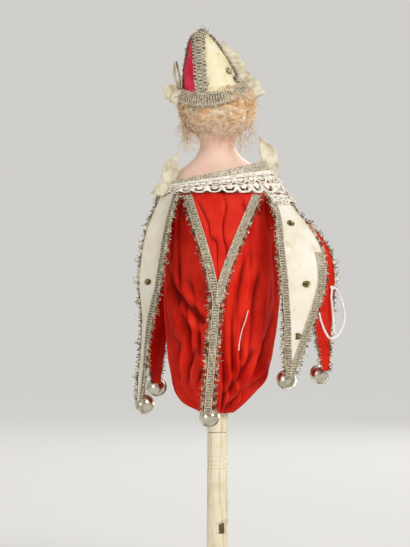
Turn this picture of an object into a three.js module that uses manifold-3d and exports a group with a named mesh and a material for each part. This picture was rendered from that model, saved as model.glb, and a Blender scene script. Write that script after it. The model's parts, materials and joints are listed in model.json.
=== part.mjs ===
// A musical marotte: a doll's head on a whistle handle, with a silk bag over a small music box.
// The doll spins on the handle's spindle, and a worm on that spindle turns the pinned barrel.
// Millimetres, +Z up, the doll faces -Y, and the origin is the centre of the handle's mouth end.
import * as THREE from 'three';
import { mergeVertices } from 'three/addons/utils/BufferGeometryUtils.js';
import Module from 'manifold-3d';

const wasm = await Module();
wasm.setup();

// Fits
const GAP = 0.3;
const RUNNING_GAP = 0.3;
const HINGE_GAP = 0.8;

// Whistle handle
const HANDLE_LENGTH = 87.4;
const MOUTH_RADIUS = 6.4;
const HANDLE_TOP_RADIUS = 5.9;
const MOUTH_ROUNDING = 0.9;
const WHISTLE_BORE_RADIUS = 3.9;
const WHISTLE_BORE_LENGTH = 62;
const PLUG_LENGTH = 28.7;
const WINDWAY_DEPTH = 1.2;
const WINDOW_HEIGHT = 5;
const WINDOW_RAMP_LENGTH = 4;
const WINDOW_BITE = 0.9;
const WINDOW_AZIMUTH = 50;
const GROOVE_DEPTH = 0.35;
const GROOVE_WIDTH = 0.8;
const GROOVES_BELOW_TOP = [13.7, 16.6, 19, 20.9];
const FERRULE_LENGTH = 35;
const FERRULE_RADIUS = 6.1;

// Spindle and worm
const SPINDLE_RADIUS = 1.5;
const SOCKET_DEPTH = 10;
const WASHER_RADIUS = 5;
const WASHER_THICKNESS = 1;
const WORM_PITCH = 2;
const WORM_TURNS = 3;
const WORM_PITCH_RADIUS = 3.2;
const TOOTH_ADDENDUM = 0.5;
const TOOTH_DEDENDUM = 0.75;

// Music box
const DRUM_RADIUS = 23.5;
const DRUM_HEIGHT = 50;
const DRUM_WALL = 1.2;
const DISC_THICKNESS = 5;
const BUSH_WALL = 1.4;
const WHEEL_TEETH = 24;
const WHEEL_WIDTH = 2.4;
const BARREL_LENGTH = 11;
const BARREL_RADIUS = 6;
const PIN_HEIGHT = 0.5;
const PIN_SIZE = 0.5;
const PIN_ROWS = 9;
const ARBOR_RADIUS = 1.2;
const FRAME_THICKNESS = 1.4;
const FRAME_WIDTH = 9;
const BARREL_AXIS_LIFT = 12;
const COMB_THICKNESS = 0.8;
const COMB_TOOTH_GAP = 0.45;
const COMB_BASE_HEIGHT = 6;
const COMB_REST_DEPTH = 5;
const SCREW_HEAD_RADIUS = 1.8;
const SCREW_HEAD_HEIGHT = 1.1;

// Silk bag and the padding in it
const BAG_RADIUS = 31.5;
const BAG_CLOTH = 1.2;
const BAG_BOTTOM_Z = 99;
const BAG_FOLDS = 9;
const BAG_FOLD_DEPTH = 1.4;
const BAG_MOUTH_GAP = 1.4;
const BAG_SWAY = 2.2;
const BAG_LOBE = 4.5;
const BAG_LOBE_TURN = 0.3;
const COLLAR_Z = 226;

// Lace collar and braid
const COLLAR_HALF_WIDTH = 35.5;
const COLLAR_HALF_DEPTH = 26.5;
const COLLAR_OFFSET = -2.5;
const COLLAR_HEIGHT = 8;
const COLLAR_TILT = 7;
const LACE_THICKNESS = 1.2;
const BRAID_WIDTH = 3.4;
const BRAID_THICKNESS = 1;

// Shoulder head
const HEAD_WALL = 2.2;
const NECK_RADIUS = 10.3;
const NECK_Z = 253;
const COLLAR_EASE = 4.5;
const SHOULDER_HALF_WIDTH = COLLAR_HALF_WIDTH - COLLAR_EASE;
const SHOULDER_HALF_DEPTH = COLLAR_HALF_DEPTH - COLLAR_EASE - 1.5;
const HEAD_HALF_WIDTH = 16.2;
const HEAD_HALF_DEPTH = 17.2;
const HEAD_Z = 274.5;
const CROWN_Z = 287.5;
const SHOULDER_TILT = 3;
const SHOULDER_SHIFT = 2;
const NECK_POST_RADIUS = 5;
const EYE_RADIUS = 3.4;
const EYE_SPACING = 12.4;
const EYE_Z = 270.5;

// Wig and cap
const HAIR_THICKNESS = 5.2;
const HAIR_BOTTOM_Z = 260;
const CAP_EASE = 1;
const CAP_RADIUS = Math.max(HEAD_HALF_WIDTH + CAP_EASE, HEAD_HALF_DEPTH);
const CAP_FULLNESS = 0.66;
const CAP_TIP_RADIUS = 3.4;
const CAP_CLOTH = 1;
const CAP_BASE = new THREE.Vector3(2.6, 3.5, 286);
const CAP_TIP = new THREE.Vector3(9.2, 2.5, 318.5);
const CAP_TILT_BACK = 25;
const CAP_ROLL = 9;
const CAP_SEAM_AZIMUTH = -20;
const RIBBON_THICKNESS = 1.4;
const BOW_LENGTH = 22;
const BOW_WIDTH = 9;

// Costume tabs and their bells
const TAB_LENGTH = 126;
const TAB_HALF_WIDTH = 15;
const TAB_TIP_HALF_WIDTH = 2.6;
const TAB_CLOTH = 1.1;
const TAB_CUP = 1.6;
const BELL_RADIUS = 5.3;
const BELL_WALL = 0.6;
const BELL_RIM = 0.6;
const BELL_RIM_THICKNESS = 0.9;
const BELL_SLOT = 1.7;
const BELL_LOOP_HEIGHT = 1.5;
const BELL_LOOP_WIRE = 0.45;
const BELL_REST_TILT = 20;
const PELLET_RADIUS = 1.5;

// String loop on the right tab
const STRING_RADIUS = 0.6;

const ROUND = 24;
const FINE = 36;

const degrees = THREE.MathUtils.degToRad;
const vec = (x, y, z) => new THREE.Vector3(x, y, z);

// Turns any closed geometry into a solid whose faces point out.
function solidFrom(geometry) {
  const loose = geometry.index ? geometry.toNonIndexed() : geometry.clone();
  loose.deleteAttribute('normal');
  loose.deleteAttribute('uv');
  const merged = mergeVertices(loose, 1e-4);
  const corners = merged.index.array;
  const forward = [];
  const reversed = [];
  for (let i = 0; i < corners.length; i += 3) {
    const [a, b, c] = [corners[i], corners[i + 1], corners[i + 2]];
    if (a === b || b === c || a === c) continue;
    forward.push(a, b, c);
    reversed.push(a, c, b);
  }
  const vertProperties = merged.attributes.position.array;
  const build = (triangles) => new wasm.Manifold(
    new wasm.Mesh({ numProp: 3, vertProperties, triVerts: new Uint32Array(triangles) }),
  );
  const solid = build(forward);
  return solid.volume() < 0 ? build(reversed) : solid;
}

function meshFrom(name, solid, material) {
  const { vertProperties, triVerts } = solid.getMesh();
  const geometry = new THREE.BufferGeometry();
  geometry.setAttribute('position', new THREE.BufferAttribute(new Float32Array(vertProperties), 3));
  geometry.setIndex(new THREE.BufferAttribute(new Uint32Array(triVerts), 1));
  const mesh = new THREE.Mesh(geometry, material);
  mesh.name = name;
  return mesh;
}

// A solid of revolution about Z from [radius, height] pairs.
function turned(profile, segments = ROUND) {
  const points = profile.map(([r, z]) => new THREE.Vector2(r, z));
  return solidFrom(new THREE.LatheGeometry(points, segments).rotateX(Math.PI / 2));
}

function ring(inner, outer, low, high, segments = ROUND) {
  return turned([[inner, low], [outer, low], [outer, high], [inner, high], [inner, low]], segments);
}

function rod(radius, low, high, segments = 16) {
  return turned([[0, low], [radius, low], [radius, high], [0, high]], segments);
}

function block(width, depth, height, centre) {
  const box = new THREE.BoxGeometry(width, depth, height);
  return solidFrom(box.translate(centre.x, centre.y, centre.z));
}

function ball(radius, centre, across = 12, up = 8) {
  const sphere = new THREE.SphereGeometry(radius, across, up).rotateX(Math.PI / 2);
  return solidFrom(sphere.translate(centre.x, centre.y, centre.z));
}

// Skins a row of rings, each an even number of points. A closed row joins its last ring to its first.
function loft(rings, closed = false) {
  const count = rings[0].length;
  const position = rings.flat().flatMap((p) => [p.x, p.y, p.z]);
  const index = [];
  const spans = closed ? rings.length : rings.length - 1;
  for (let s = 0; s < spans; s += 1) {
    const low = s * count;
    const high = ((s + 1) % rings.length) * count;
    for (let i = 0; i < count; i += 1) {
      const next = (i + 1) % count;
      index.push(low + i, low + next, high + next, low + i, high + next, high + i);
    }
  }
  if (!closed) {
    const last = (rings.length - 1) * count;
    for (let i = 0; i < count / 2 - 1; i += 1) {
      const far = count - 1 - i;
      index.push(i, far, far - 1, i, far - 1, i + 1);
      index.push(last + i, last + far - 1, last + far, last + i, last + i + 1, last + far - 1);
    }
  }
  const geometry = new THREE.BufferGeometry();
  geometry.setAttribute('position', new THREE.Float32BufferAttribute(position, 3));
  geometry.setIndex(index);
  return solidFrom(geometry);
}

// Azimuth runs from the doll's back towards its right-hand side, seen from above.
const outward = (azimuth) => vec(-Math.sin(degrees(azimuth)), Math.cos(degrees(azimuth)), 0);
const sideways = (azimuth) => vec(Math.cos(degrees(azimuth)), Math.sin(degrees(azimuth)), 0);

function ellipse(halfWidth, halfDepth, centre, count = ROUND) {
  return Array.from({ length: count }, (_, i) => {
    const turn = (2 * Math.PI * i) / count;
    return vec(centre.x + halfWidth * Math.cos(turn), centre.y + halfDepth * Math.sin(turn), centre.z);
  });
}

const cut = (solid, ...tools) => tools.reduce((left, tool) => left.subtract(tool), solid);
const join = (solid, ...more) => more.reduce((left, piece) => left.add(piece), solid);

const finish = (color, roughness, metalness = 0) => (
  new THREE.MeshStandardMaterial({ color, roughness, metalness })
);
const bone = finish('#e9dfc2', 0.42);
const pearwood = finish('#9a6a3c', 0.7);
const limewood = finish('#c9a878', 0.75);
const pasteboard = finish('#a58d6b', 0.9);
const brass = finish('#b8924a', 0.38, 1);
const steel = finish('#8d9196', 0.35, 1);
const bisque = finish('#efc9b4', 0.55);
const glassEye = finish('#3d5a78', 0.08);
const cork = finish('#a87c50', 0.9);
const mohair = finish('#c99a5e', 0.85);
const redSilk = finish('#c8241c', 0.6);
const capRed = finish('#c92a3c', 0.6);
const creamSilk = finish('#e8dfc4', 0.6);
const lace = finish('#e6dcc2', 0.85);
const ribbon = finish('#cfc0a0', 0.55);
const tinsel = finish('#8d826a', 0.35, 0.9);
const nickel = finish('#b9b6a8', 0.28, 1);
const wadding = finish('#d8cdb8', 0.95);
const cotton = finish('#f2f0ec', 0.9);

const marotte = new THREE.Group();

// Heights that the turned pieces share
const ferruleBase = HANDLE_LENGTH + GAP;
const ferruleTop = ferruleBase + FERRULE_LENGTH;
const washerBase = ferruleTop + GAP;
const drumBase = washerBase + WASHER_THICKNESS + RUNNING_GAP;
const drumFloor = drumBase + DISC_THICKNESS;
const drumTop = drumBase + DRUM_HEIGHT;
const drumCeiling = drumTop - DISC_THICKNESS;
const discRadius = DRUM_RADIUS - DRUM_WALL - GAP;
const spindleHole = SPINDLE_RADIUS + RUNNING_GAP;
const spindleTop = drumCeiling + DISC_THICKNESS / 2;
const windowLedge = PLUG_LENGTH + GAP;

// The bone handle, bored as a whistle, with turned grooves below its top.
function handleTube() {
  const taper = (z) => THREE.MathUtils.lerp(MOUTH_RADIUS, HANDLE_TOP_RADIUS, z / HANDLE_LENGTH);
  const grooves = [...GROOVES_BELOW_TOP].reverse().flatMap((below) => {
    const z = HANDLE_LENGTH - below;
    const half = GROOVE_WIDTH / 2;
    return [[taper(z), z - half], [taper(z) - GROOVE_DEPTH, z], [taper(z), z + half]];
  });
  const tube = turned([
    [0, WHISTLE_BORE_LENGTH],
    [WHISTLE_BORE_RADIUS, WHISTLE_BORE_LENGTH],
    [WHISTLE_BORE_RADIUS, 0],
    [MOUTH_RADIUS - MOUTH_ROUNDING, 0],
    [MOUTH_RADIUS - MOUTH_ROUNDING / 4, MOUTH_ROUNDING / 3],
    [MOUTH_RADIUS, MOUTH_ROUNDING],
    ...grooves,
    [HANDLE_TOP_RADIUS, HANDLE_LENGTH],
    [SPINDLE_RADIUS + GAP, HANDLE_LENGTH],
    [SPINDLE_RADIUS + GAP, HANDLE_LENGTH - SOCKET_DEPTH],
    [0, HANDLE_LENGTH - SOCKET_DEPTH],
  ]);
  return cut(tube, windowCutter());
}

// The window of the whistle: a square ledge below, then open to the bore, then a ramp up to the lip.
function windowCutter() {
  const deep = WHISTLE_BORE_RADIUS - WINDOW_BITE;
  const past = MOUTH_RADIUS + 1;
  const slope = (MOUTH_RADIUS - deep) / WINDOW_RAMP_LENGTH;
  const outline = new THREE.Shape([
    new THREE.Vector2(deep, windowLedge),
    new THREE.Vector2(past, windowLedge),
    new THREE.Vector2(past, windowLedge + WINDOW_HEIGHT + (past - deep) / slope),
    new THREE.Vector2(deep, windowLedge + WINDOW_HEIGHT),
  ]);
  const wedge = new THREE.ExtrudeGeometry(outline, { depth: 2 * past, bevelEnabled: false });
  wedge.translate(0, 0, -past).rotateX(Math.PI / 2).rotateZ(degrees(90 + WINDOW_AZIMUTH));
  return solidFrom(wedge);
}

// The wooden block that fills the mouth end, flat on the window's side for the windway.
function whistlePlug() {
  const radius = WHISTLE_BORE_RADIUS - GAP;
  const flat = block(2 * radius, 2 * radius, 3 * PLUG_LENGTH, vec(0, 2 * radius - WINDWAY_DEPTH, 0));
  return cut(rod(radius, 0, PLUG_LENGTH, ROUND), flat.rotate([0, 0, WINDOW_AZIMUTH]));
}

// A single-start worm: the radius rises and falls once per pitch, on a helix round the spindle.
function wormSolid(axisHeight) {
  const stepsPerTurn = 8;
  const around = 16;
  const threadShare = 0.3;
  const root = WORM_PITCH_RADIUS - TOOTH_DEDENDUM;
  const crest = WORM_PITCH_RADIUS + TOOTH_ADDENDUM;
  const flank = 0.18;
  const height = (share) => {
    const away = Math.abs(share - Math.round(share));
    return THREE.MathUtils.clamp((threadShare / 2 + flank - away) / flank, 0, 1);
  };
  const rings = [];
  for (let s = 0; s <= WORM_TURNS * stepsPerTurn; s += 1) {
    const along = s / stepsPerTurn - WORM_TURNS / 2;
    rings.push(Array.from({ length: around }, (_, i) => {
      const turn = i / around;
      const radius = root + (crest - root) * height(along - (turn - 0.25));
      return vec(
        radius * Math.cos(2 * Math.PI * turn),
        radius * Math.sin(2 * Math.PI * turn),
        axisHeight + along * WORM_PITCH,
      );
    }));
  }
  const reach = WORM_PITCH * WORM_TURNS;
  return cut(loft(rings), rod(SPINDLE_RADIUS + GAP, axisHeight - reach, axisHeight + reach));
}

const barrelAxisZ = drumFloor + BARREL_AXIS_LIFT;
const wheelPitchRadius = (WHEEL_TEETH * WORM_PITCH) / (2 * Math.PI);
const barrelAxisY = WORM_PITCH_RADIUS + wheelPitchRadius;
const barrelStart = WHEEL_WIDTH / 2 + GAP;
const barrelEnd = barrelStart + BARREL_LENGTH;

// Lays a solid that was built along Z onto the barrel's axis, which runs along X.
const onBarrelAxis = (solid) => solid.rotate([0, 90, 0]).translate([0, barrelAxisY, barrelAxisZ]);

function barrelWheel() {
  const root = wheelPitchRadius - TOOTH_DEDENDUM;
  const crest = wheelPitchRadius + TOOTH_ADDENDUM;
  const outline = new THREE.Shape();
  for (let tooth = 0; tooth < WHEEL_TEETH; tooth += 1) {
    [[-0.3, root], [-0.14, crest], [0.14, crest], [0.3, root]].forEach(([share, radius], i) => {
      const turn = (2 * Math.PI * (tooth + share)) / WHEEL_TEETH + Math.PI / WHEEL_TEETH + Math.PI / 2;
      const point = [radius * Math.cos(turn), radius * Math.sin(turn)];
      if (tooth + i === 0) outline.moveTo(...point);
      else outline.lineTo(...point);
    });
  }
  const wheel = new THREE.ExtrudeGeometry(outline, { depth: WHEEL_WIDTH, bevelEnabled: false });
  const blank = solidFrom(wheel.translate(0, 0, -WHEEL_WIDTH / 2));
  return onBarrelAxis(cut(blank, rod(ARBOR_RADIUS + GAP, -WHEEL_WIDTH, WHEEL_WIDTH)));
}

// The pinned barrel. Its pins follow a fixed pattern round the tube, one row for each comb tooth.
function pinnedBarrel() {
  const pinsPerRow = 3;
  const rowPitch = BARREL_LENGTH / PIN_ROWS;
  const pins = [];
  for (let row = 0; row < PIN_ROWS; row += 1) {
    for (let i = 0; i < pinsPerRow; i += 1) {
      const turn = 360 * ((i + ((row * 5) % PIN_ROWS) / PIN_ROWS) / pinsPerRow);
      const pinAt = vec(BARREL_RADIUS, 0, barrelStart + rowPitch * (row + 0.5));
      const pin = block(2 * PIN_HEIGHT, PIN_SIZE, PIN_SIZE, pinAt);
      pins.push(pin.rotate([0, 0, turn]));
    }
  }
  return onBarrelAxis(join(ring(ARBOR_RADIUS + GAP, BARREL_RADIUS, barrelStart, barrelEnd), ...pins));
}

// The bent strip that carries the arbor: a foot on the drum's floor and two uprights.
const frameInner = [-(WHEEL_WIDTH / 2 + 1), barrelEnd + 1];
const footZ = drumFloor + GAP;
function barrelFrame() {
  const [left, right] = frameInner;
  const tall = BARREL_AXIS_LIFT + 3 * ARBOR_RADIUS;
  const upright = (x) => block(
    FRAME_THICKNESS, FRAME_WIDTH, tall, vec(x, barrelAxisY, footZ + tall / 2),
  );
  const span = right - left + 2 * FRAME_THICKNESS;
  const footAt = vec((left + right) / 2, barrelAxisY, footZ + FRAME_THICKNESS / 2);
  const foot = block(span, FRAME_WIDTH, FRAME_THICKNESS, footAt);
  const strip = join(foot, upright(left - FRAME_THICKNESS / 2), upright(right + FRAME_THICKNESS / 2));
  return cut(strip, onBarrelAxis(rod(ARBOR_RADIUS + RUNNING_GAP, -2 * span, 2 * span)));
}

// The steel comb hangs from its rest above the barrel, its teeth pointing at the barrel's axis.
const combTipZ = barrelAxisZ + BARREL_RADIUS + PIN_HEIGHT + GAP;
const combTopZ = drumCeiling - GAP;
function combPlate() {
  const tall = combTopZ - GAP - combTipZ;
  const plateAt = vec((barrelStart + barrelEnd) / 2, barrelAxisY, combTipZ + tall / 2);
  const plate = block(BARREL_LENGTH, COMB_THICKNESS, tall, plateAt);
  const rowPitch = BARREL_LENGTH / PIN_ROWS;
  const toothLength = tall - COMB_BASE_HEIGHT;
  const slots = Array.from({ length: PIN_ROWS - 1 }, (_, i) => block(
    COMB_TOOTH_GAP, 2 * COMB_THICKNESS, 2 * toothLength,
    vec(barrelStart + rowPitch * (i + 1), barrelAxisY, combTipZ),
  ));
  return cut(plate, ...slots, combScrewHole());
}

const combScrewAt = vec((barrelStart + barrelEnd) / 2, barrelAxisY, combTopZ - GAP - COMB_BASE_HEIGHT / 2);
const screwRadius = SCREW_HEAD_RADIUS / 2;
const screwAxis = (solid) => solid.rotate([90, 0, 0]).translate(combScrewAt.toArray());
function combScrewHole() {
  return screwAxis(rod(screwRadius + GAP, -2 * COMB_REST_DEPTH, 2 * COMB_REST_DEPTH));
}

function combScrew() {
  const face = COMB_THICKNESS / 2 + GAP;
  const shank = rod(screwRadius, -COMB_REST_DEPTH / 2, face, 12);
  const head = rod(SCREW_HEAD_RADIUS, face, face + SCREW_HEAD_HEIGHT, 12);
  const slot = block(3 * SCREW_HEAD_RADIUS, 0.5, SCREW_HEAD_HEIGHT, vec(0, 0, face + SCREW_HEAD_HEIGHT));
  return screwAxis(cut(join(shank, head), slot));
}

function combRest() {
  const near = barrelAxisY + COMB_THICKNESS / 2 + GAP;
  const rest = block(
    BARREL_LENGTH, COMB_REST_DEPTH, COMB_BASE_HEIGHT,
    vec((barrelStart + barrelEnd) / 2, near + COMB_REST_DEPTH / 2, combTopZ - COMB_BASE_HEIGHT / 2),
  );
  return cut(rest, combScrewHole());
}

// The silk bag: gathered round the ferrule, full over the drum and drawn in under the collar.
const BAG_AROUND = 36;
const bagTopRadius = SHOULDER_HALF_DEPTH + 3;
const bagHeight = COLLAR_Z - GAP - BAG_BOTTOM_Z;
const bagMouth = FERRULE_RADIUS + BAG_MOUTH_GAP;
function bagRadiusAt(share) {
  const profile = new THREE.SplineCurve([
    [bagMouth + BAG_CLOTH, 0], [BAG_RADIUS * 0.54, 0.058], [BAG_RADIUS * 0.72, 0.108],
    [BAG_RADIUS * 0.92, 0.21], [BAG_RADIUS, 0.45], [BAG_RADIUS * 0.97, 0.66], [BAG_RADIUS * 0.9, 0.86],
    [bagTopRadius, 1],
  ].map(([r, z]) => new THREE.Vector2(r, z * bagHeight)));
  return profile.getPoint(share);
}

// The bag's outer reach at a height, with its folds.
function bagReachAt(z) {
  const shares = Array.from({ length: 201 }, (_, i) => i / 200);
  const share = shares.find((s) => bagRadiusAt(s).y >= z - BAG_BOTTOM_Z) ?? 1;
  return bagRadiusAt(share).x + BAG_FOLD_DEPTH;
}

function bagRing(share, inset, foldDepth) {
  const { x: radius, y: rise } = bagRadiusAt(share);
  const spread = THREE.MathUtils.lerp(1, SHOULDER_HALF_WIDTH / bagTopRadius, share ** 3);
  const sway = -BAG_SWAY * Math.sin(Math.PI * share) - SHOULDER_SHIFT * share ** 3;
  // The cloth sags in a lobe low down on one side.
  const sag = BAG_LOBE * THREE.MathUtils.smoothstep(share, 0, 0.12)
    * (1 - THREE.MathUtils.smoothstep(share, 0.14, 0.45));
  return Array.from({ length: BAG_AROUND }, (_, i) => {
    const turn = (2 * Math.PI * i) / BAG_AROUND;
    const fold = foldDepth * Math.sin(Math.PI * share) * Math.cos(BAG_FOLDS * turn + 3 * share);
    const r = radius - inset + fold + sag * Math.max(Math.cos(turn - BAG_LOBE_TURN), 0) ** 4;
    return vec(spread * r * Math.cos(turn) + sway, r * Math.sin(turn), BAG_BOTTOM_Z + rise);
  });
}

function silkBag() {
  const steps = 12;
  const inside = BAG_CLOTH + BAG_FOLD_DEPTH;
  const outer = Array.from({ length: steps + 1 }, (_, i) => bagRing(i / steps, 0, BAG_FOLD_DEPTH));
  const inner = Array.from({ length: steps + 1 }, (_, i) => bagRing(i / steps, inside, 0))
    .map((points, i) => points.map((p) => vec(p.x, p.y, p.z + (i === 0 ? 0 : BAG_CLOTH * (1 - i / steps)))));
  const mouthScale = bagMouth / (bagMouth + BAG_CLOTH - inside);
  inner[0] = inner[0].map((p) => vec(p.x * mouthScale, p.y * mouthScale, p.z));
  return loft([...outer, ...inner.reverse()], true);
}

// The padded torso between the drum and the shoulder plate, with the post that carries the head.
const torsoTop = COLLAR_Z - 2 * GAP;
const postTop = NECK_Z + NECK_RADIUS;
function torsoPadding() {
  const radius = BAG_RADIUS * 0.9 - BAG_CLOTH - BAG_FOLD_DEPTH - 2 * GAP;
  const low = drumTop + GAP;
  const body = turned([
    [0, low], [DRUM_RADIUS - 1, low], [DRUM_RADIUS, low + 6], [radius * 0.97, (low + torsoTop) / 2],
    [radius * 0.9, torsoTop - 9], [SHOULDER_HALF_DEPTH - 2, torsoTop], [0, torsoTop],
  ], FINE);
  return cut(body, rod(NECK_POST_RADIUS + GAP, low - 1, torsoTop + 1));
}

// Head and shoulder plate: one hollow bisque casting, lofted through ellipses up its height.
const shoulderDrop = NECK_Z - COLLAR_Z;
const headSections = [
  [COLLAR_Z + GAP, SHOULDER_HALF_WIDTH, SHOULDER_HALF_DEPTH, 0],
  [COLLAR_Z + 0.22 * shoulderDrop, SHOULDER_HALF_WIDTH * 0.97, SHOULDER_HALF_DEPTH * 0.97, 0],
  [COLLAR_Z + 0.42 * shoulderDrop, SHOULDER_HALF_WIDTH * 0.84, SHOULDER_HALF_DEPTH * 0.86, 0],
  [COLLAR_Z + 0.6 * shoulderDrop, SHOULDER_HALF_WIDTH * 0.6, SHOULDER_HALF_DEPTH * 0.7, 0],
  [COLLAR_Z + 0.77 * shoulderDrop, NECK_RADIUS * 1.3, NECK_RADIUS * 1.2, 0],
  [NECK_Z, NECK_RADIUS, NECK_RADIUS, 0],
  [NECK_Z + 5, NECK_RADIUS * 1.04, NECK_RADIUS * 1.08, -1],
  [NECK_Z + 9, HEAD_HALF_WIDTH * 0.76, HEAD_HALF_DEPTH * 0.84, -1.8],
  [HEAD_Z - 9, HEAD_HALF_WIDTH * 0.91, HEAD_HALF_DEPTH * 0.96, -1.4],
  [HEAD_Z, HEAD_HALF_WIDTH, HEAD_HALF_DEPTH, -0.6],
  [HEAD_Z + 8, HEAD_HALF_WIDTH * 0.92, HEAD_HALF_DEPTH * 0.95, 0],
  [CROWN_Z - 2, HEAD_HALF_WIDTH * 0.74, HEAD_HALF_DEPTH * 0.78, 0],
  [CROWN_Z, HEAD_HALF_WIDTH * 0.62, HEAD_HALF_DEPTH * 0.66, 0],
];

// The shoulders lean and sit a little to one side, which fades out up the neck.
function leaned(point) {
  const fade = THREE.MathUtils.clamp((NECK_Z - point.z) / shoulderDrop, 0, 1);
  const lift = (SHOULDER_HALF_WIDTH - point.x) * Math.tan(degrees(SHOULDER_TILT));
  return vec(point.x - SHOULDER_SHIFT * fade, point.y, point.z + lift * fade);
}

function headRings(grow) {
  return headSections.map(([z, halfWidth, halfDepth, y]) => (
    ellipse(halfWidth + grow, halfDepth + grow, vec(0, y, z), 20).map(leaned)
  ));
}

const eyeAt = (side) => vec((side * EYE_SPACING) / 2, 0.9 - HEAD_HALF_DEPTH + EYE_RADIUS * 0.72, EYE_Z);

function shoulderHead() {
  const shell = loft([...headRings(0), ...headRings(-HEAD_WALL).reverse()], true);
  const sockets = [-1, 1].map((side) => ball(EYE_RADIUS + 2 * GAP, eyeAt(side), 8, 6));
  return cut(shell, ...sockets);
}

const crownHalfWidth = headSections.at(-1)[1];
function corkPate() {
  const radius = crownHalfWidth - HEAD_WALL - GAP;
  return turned([
    [0, CROWN_Z - HEAD_WALL], [radius, CROWN_Z - HEAD_WALL], [radius, CROWN_Z + 0.4],
    [radius * 0.7, CROWN_Z + 1.6], [0, CROWN_Z + 2.2],
  ]);
}

// The cap is lofted along a bent line from its tilted base ring to its tip.
function capPoint(share, azimuth, inset) {
  const fade = 1 - share;
  const radius = CAP_TIP_RADIUS + (CAP_RADIUS - CAP_TIP_RADIUS) * fade ** CAP_FULLNESS - inset;
  const tilt = new THREE.Euler(-degrees(CAP_TILT_BACK) * fade, degrees(CAP_ROLL) * fade, 0);
  const centre = CAP_BASE.clone().lerp(CAP_TIP, share);
  return outward(azimuth).multiplyScalar(radius).applyEuler(tilt).add(centre);
}

const CAP_STEPS = 6;
const capShares = Array.from({ length: CAP_STEPS + 1 }, (_, i) => i / CAP_STEPS);

function capEnvelope(grow) {
  return loft(capShares.map((share) => (
    Array.from({ length: 24 }, (_, i) => capPoint(share, (360 * i) / 24, -grow))
  )));
}

function capGore(quarter) {
  const pointsAcross = 6;
  const start = CAP_SEAM_AZIMUTH + 90 * quarter;
  return loft(capShares.map((share) => {
    const radius = CAP_TIP_RADIUS + (CAP_RADIUS - CAP_TIP_RADIUS) * (1 - share) ** CAP_FULLNESS;
    const seam = THREE.MathUtils.radToDeg(GAP / (radius - CAP_CLOTH)) / 2;
    const azimuths = Array.from({ length: pointsAcross + 1 }, (_, i) => (
      THREE.MathUtils.lerp(start + seam, start + 90 - seam, i / pointsAcross)
    ));
    return [
      ...azimuths.map((azimuth) => capPoint(share, azimuth, 0)),
      ...azimuths.reverse().map((azimuth) => capPoint(share, azimuth, CAP_CLOTH)),
    ];
  }));
}

// The mohair wig: a thick shell over the head, open at the face, with the cap pressed into it.
function hairRings(grow) {
  const hairSections = [
    [HAIR_BOTTOM_Z, 0.62, 0.5, 7], [HAIR_BOTTOM_Z + 4, 0.82, 0.68, 5.5],
    [HAIR_BOTTOM_Z + 10, 0.98, 0.84, 2.6], [HEAD_Z + 2, 1.04, 0.88, 1],
    [HEAD_Z + 9, 1, 0.86, 0.2], [CROWN_Z, 0.84, 0.8, 0], [CROWN_Z + 4, 0.6, 0.6, 0],
  ];
  return hairSections.map(([z, wide, deep, y], i) => {
    const halfWidth = (HEAD_HALF_WIDTH + HAIR_THICKNESS) * wide + grow;
    const halfDepth = (HEAD_HALF_DEPTH + HAIR_THICKNESS) * deep + grow;
    const end = i === 0 ? -grow : grow;
    return ellipse(halfWidth, halfDepth, vec(0, y, i % (hairSections.length - 1) ? z : z + end), 24);
  });
}

function wigSolid() {
  const headFilled = loft(headRings(GAP));
  const pateRoom = rod(crownHalfWidth, CROWN_Z - 1, CROWN_Z + 2.2 + GAP, ROUND);
  const face = block(1.4 * HEAD_HALF_WIDTH, HEAD_HALF_DEPTH, CROWN_Z - HAIR_BOTTOM_Z, vec(
    0, -HEAD_HALF_DEPTH - 3.5, (CROWN_Z + HAIR_BOTTOM_Z) / 2 - 3,
  ));
  return cut(loft(hairRings(0)), headFilled, pateRoom, face, capEnvelope(GAP));
}

// A pointed ribbon leaf, lying in the XZ plane and leaning by an angle from upright.
function ribbonLeaf(length, width, lean, base) {
  const outline = new THREE.Shape();
  outline.moveTo(-width / 4, 0);
  outline.quadraticCurveTo(-width * 0.75, length * 0.55, 0, length);
  outline.quadraticCurveTo(width * 0.75, length * 0.55, width / 4, 0);
  const settings = { depth: RIBBON_THICKNESS, bevelEnabled: false, curveSegments: 5 };
  const leaf = new THREE.ExtrudeGeometry(outline, settings);
  leaf.translate(0, 0, -RIBBON_THICKNESS / 2).rotateX(Math.PI / 2).rotateY(degrees(lean));
  return solidFrom(leaf.translate(base.x, base.y, base.z));
}

// The lace collar stands round the shoulders. Its lower edge is level and its upper edge leans.
function collarPoint(azimuth, rise, grow) {
  const flat = outward(azimuth);
  const lean = -flat.x * COLLAR_HALF_WIDTH * Math.tan(degrees(COLLAR_TILT)) * (rise / COLLAR_HEIGHT);
  const height = rise + lean;
  flat.multiply(vec(COLLAR_HALF_WIDTH - 0.62 * height + grow, COLLAR_HALF_DEPTH - 0.5 * height + grow, 1));
  return vec(flat.x + COLLAR_OFFSET, flat.y, COLLAR_Z + height);
}

function collarBand(low, high, inset, thickness) {
  const turns = Array.from({ length: FINE }, (_, i) => (360 * i) / FINE);
  const rim = (rise, grow) => turns.map((azimuth) => collarPoint(azimuth, rise, grow));
  return loft([
    rim(low, inset + thickness), rim(high, inset + thickness), rim(high, inset), rim(low, inset),
  ], true);
}

const collarFilled = () => loft([-HINGE_GAP, COLLAR_HEIGHT + 2 * BRAID_WIDTH].map((rise) => (
  Array.from({ length: FINE }, (_, i) => collarPoint((360 * i) / FINE, rise, LACE_THICKNESS + GAP))
)));

// A knot with pointed ribbon ends, each given as its length, width and lean from upright.
function bow(knotAt, leaves, ...clear) {
  const knot = ball(1.6 * RIBBON_THICKNESS, knotAt, 8, 4);
  const tails = leaves.map(([length, width, lean]) => ribbonLeaf(length, width, lean, knotAt));
  return cut(join(knot, ...tails), ...clear);
}

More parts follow.
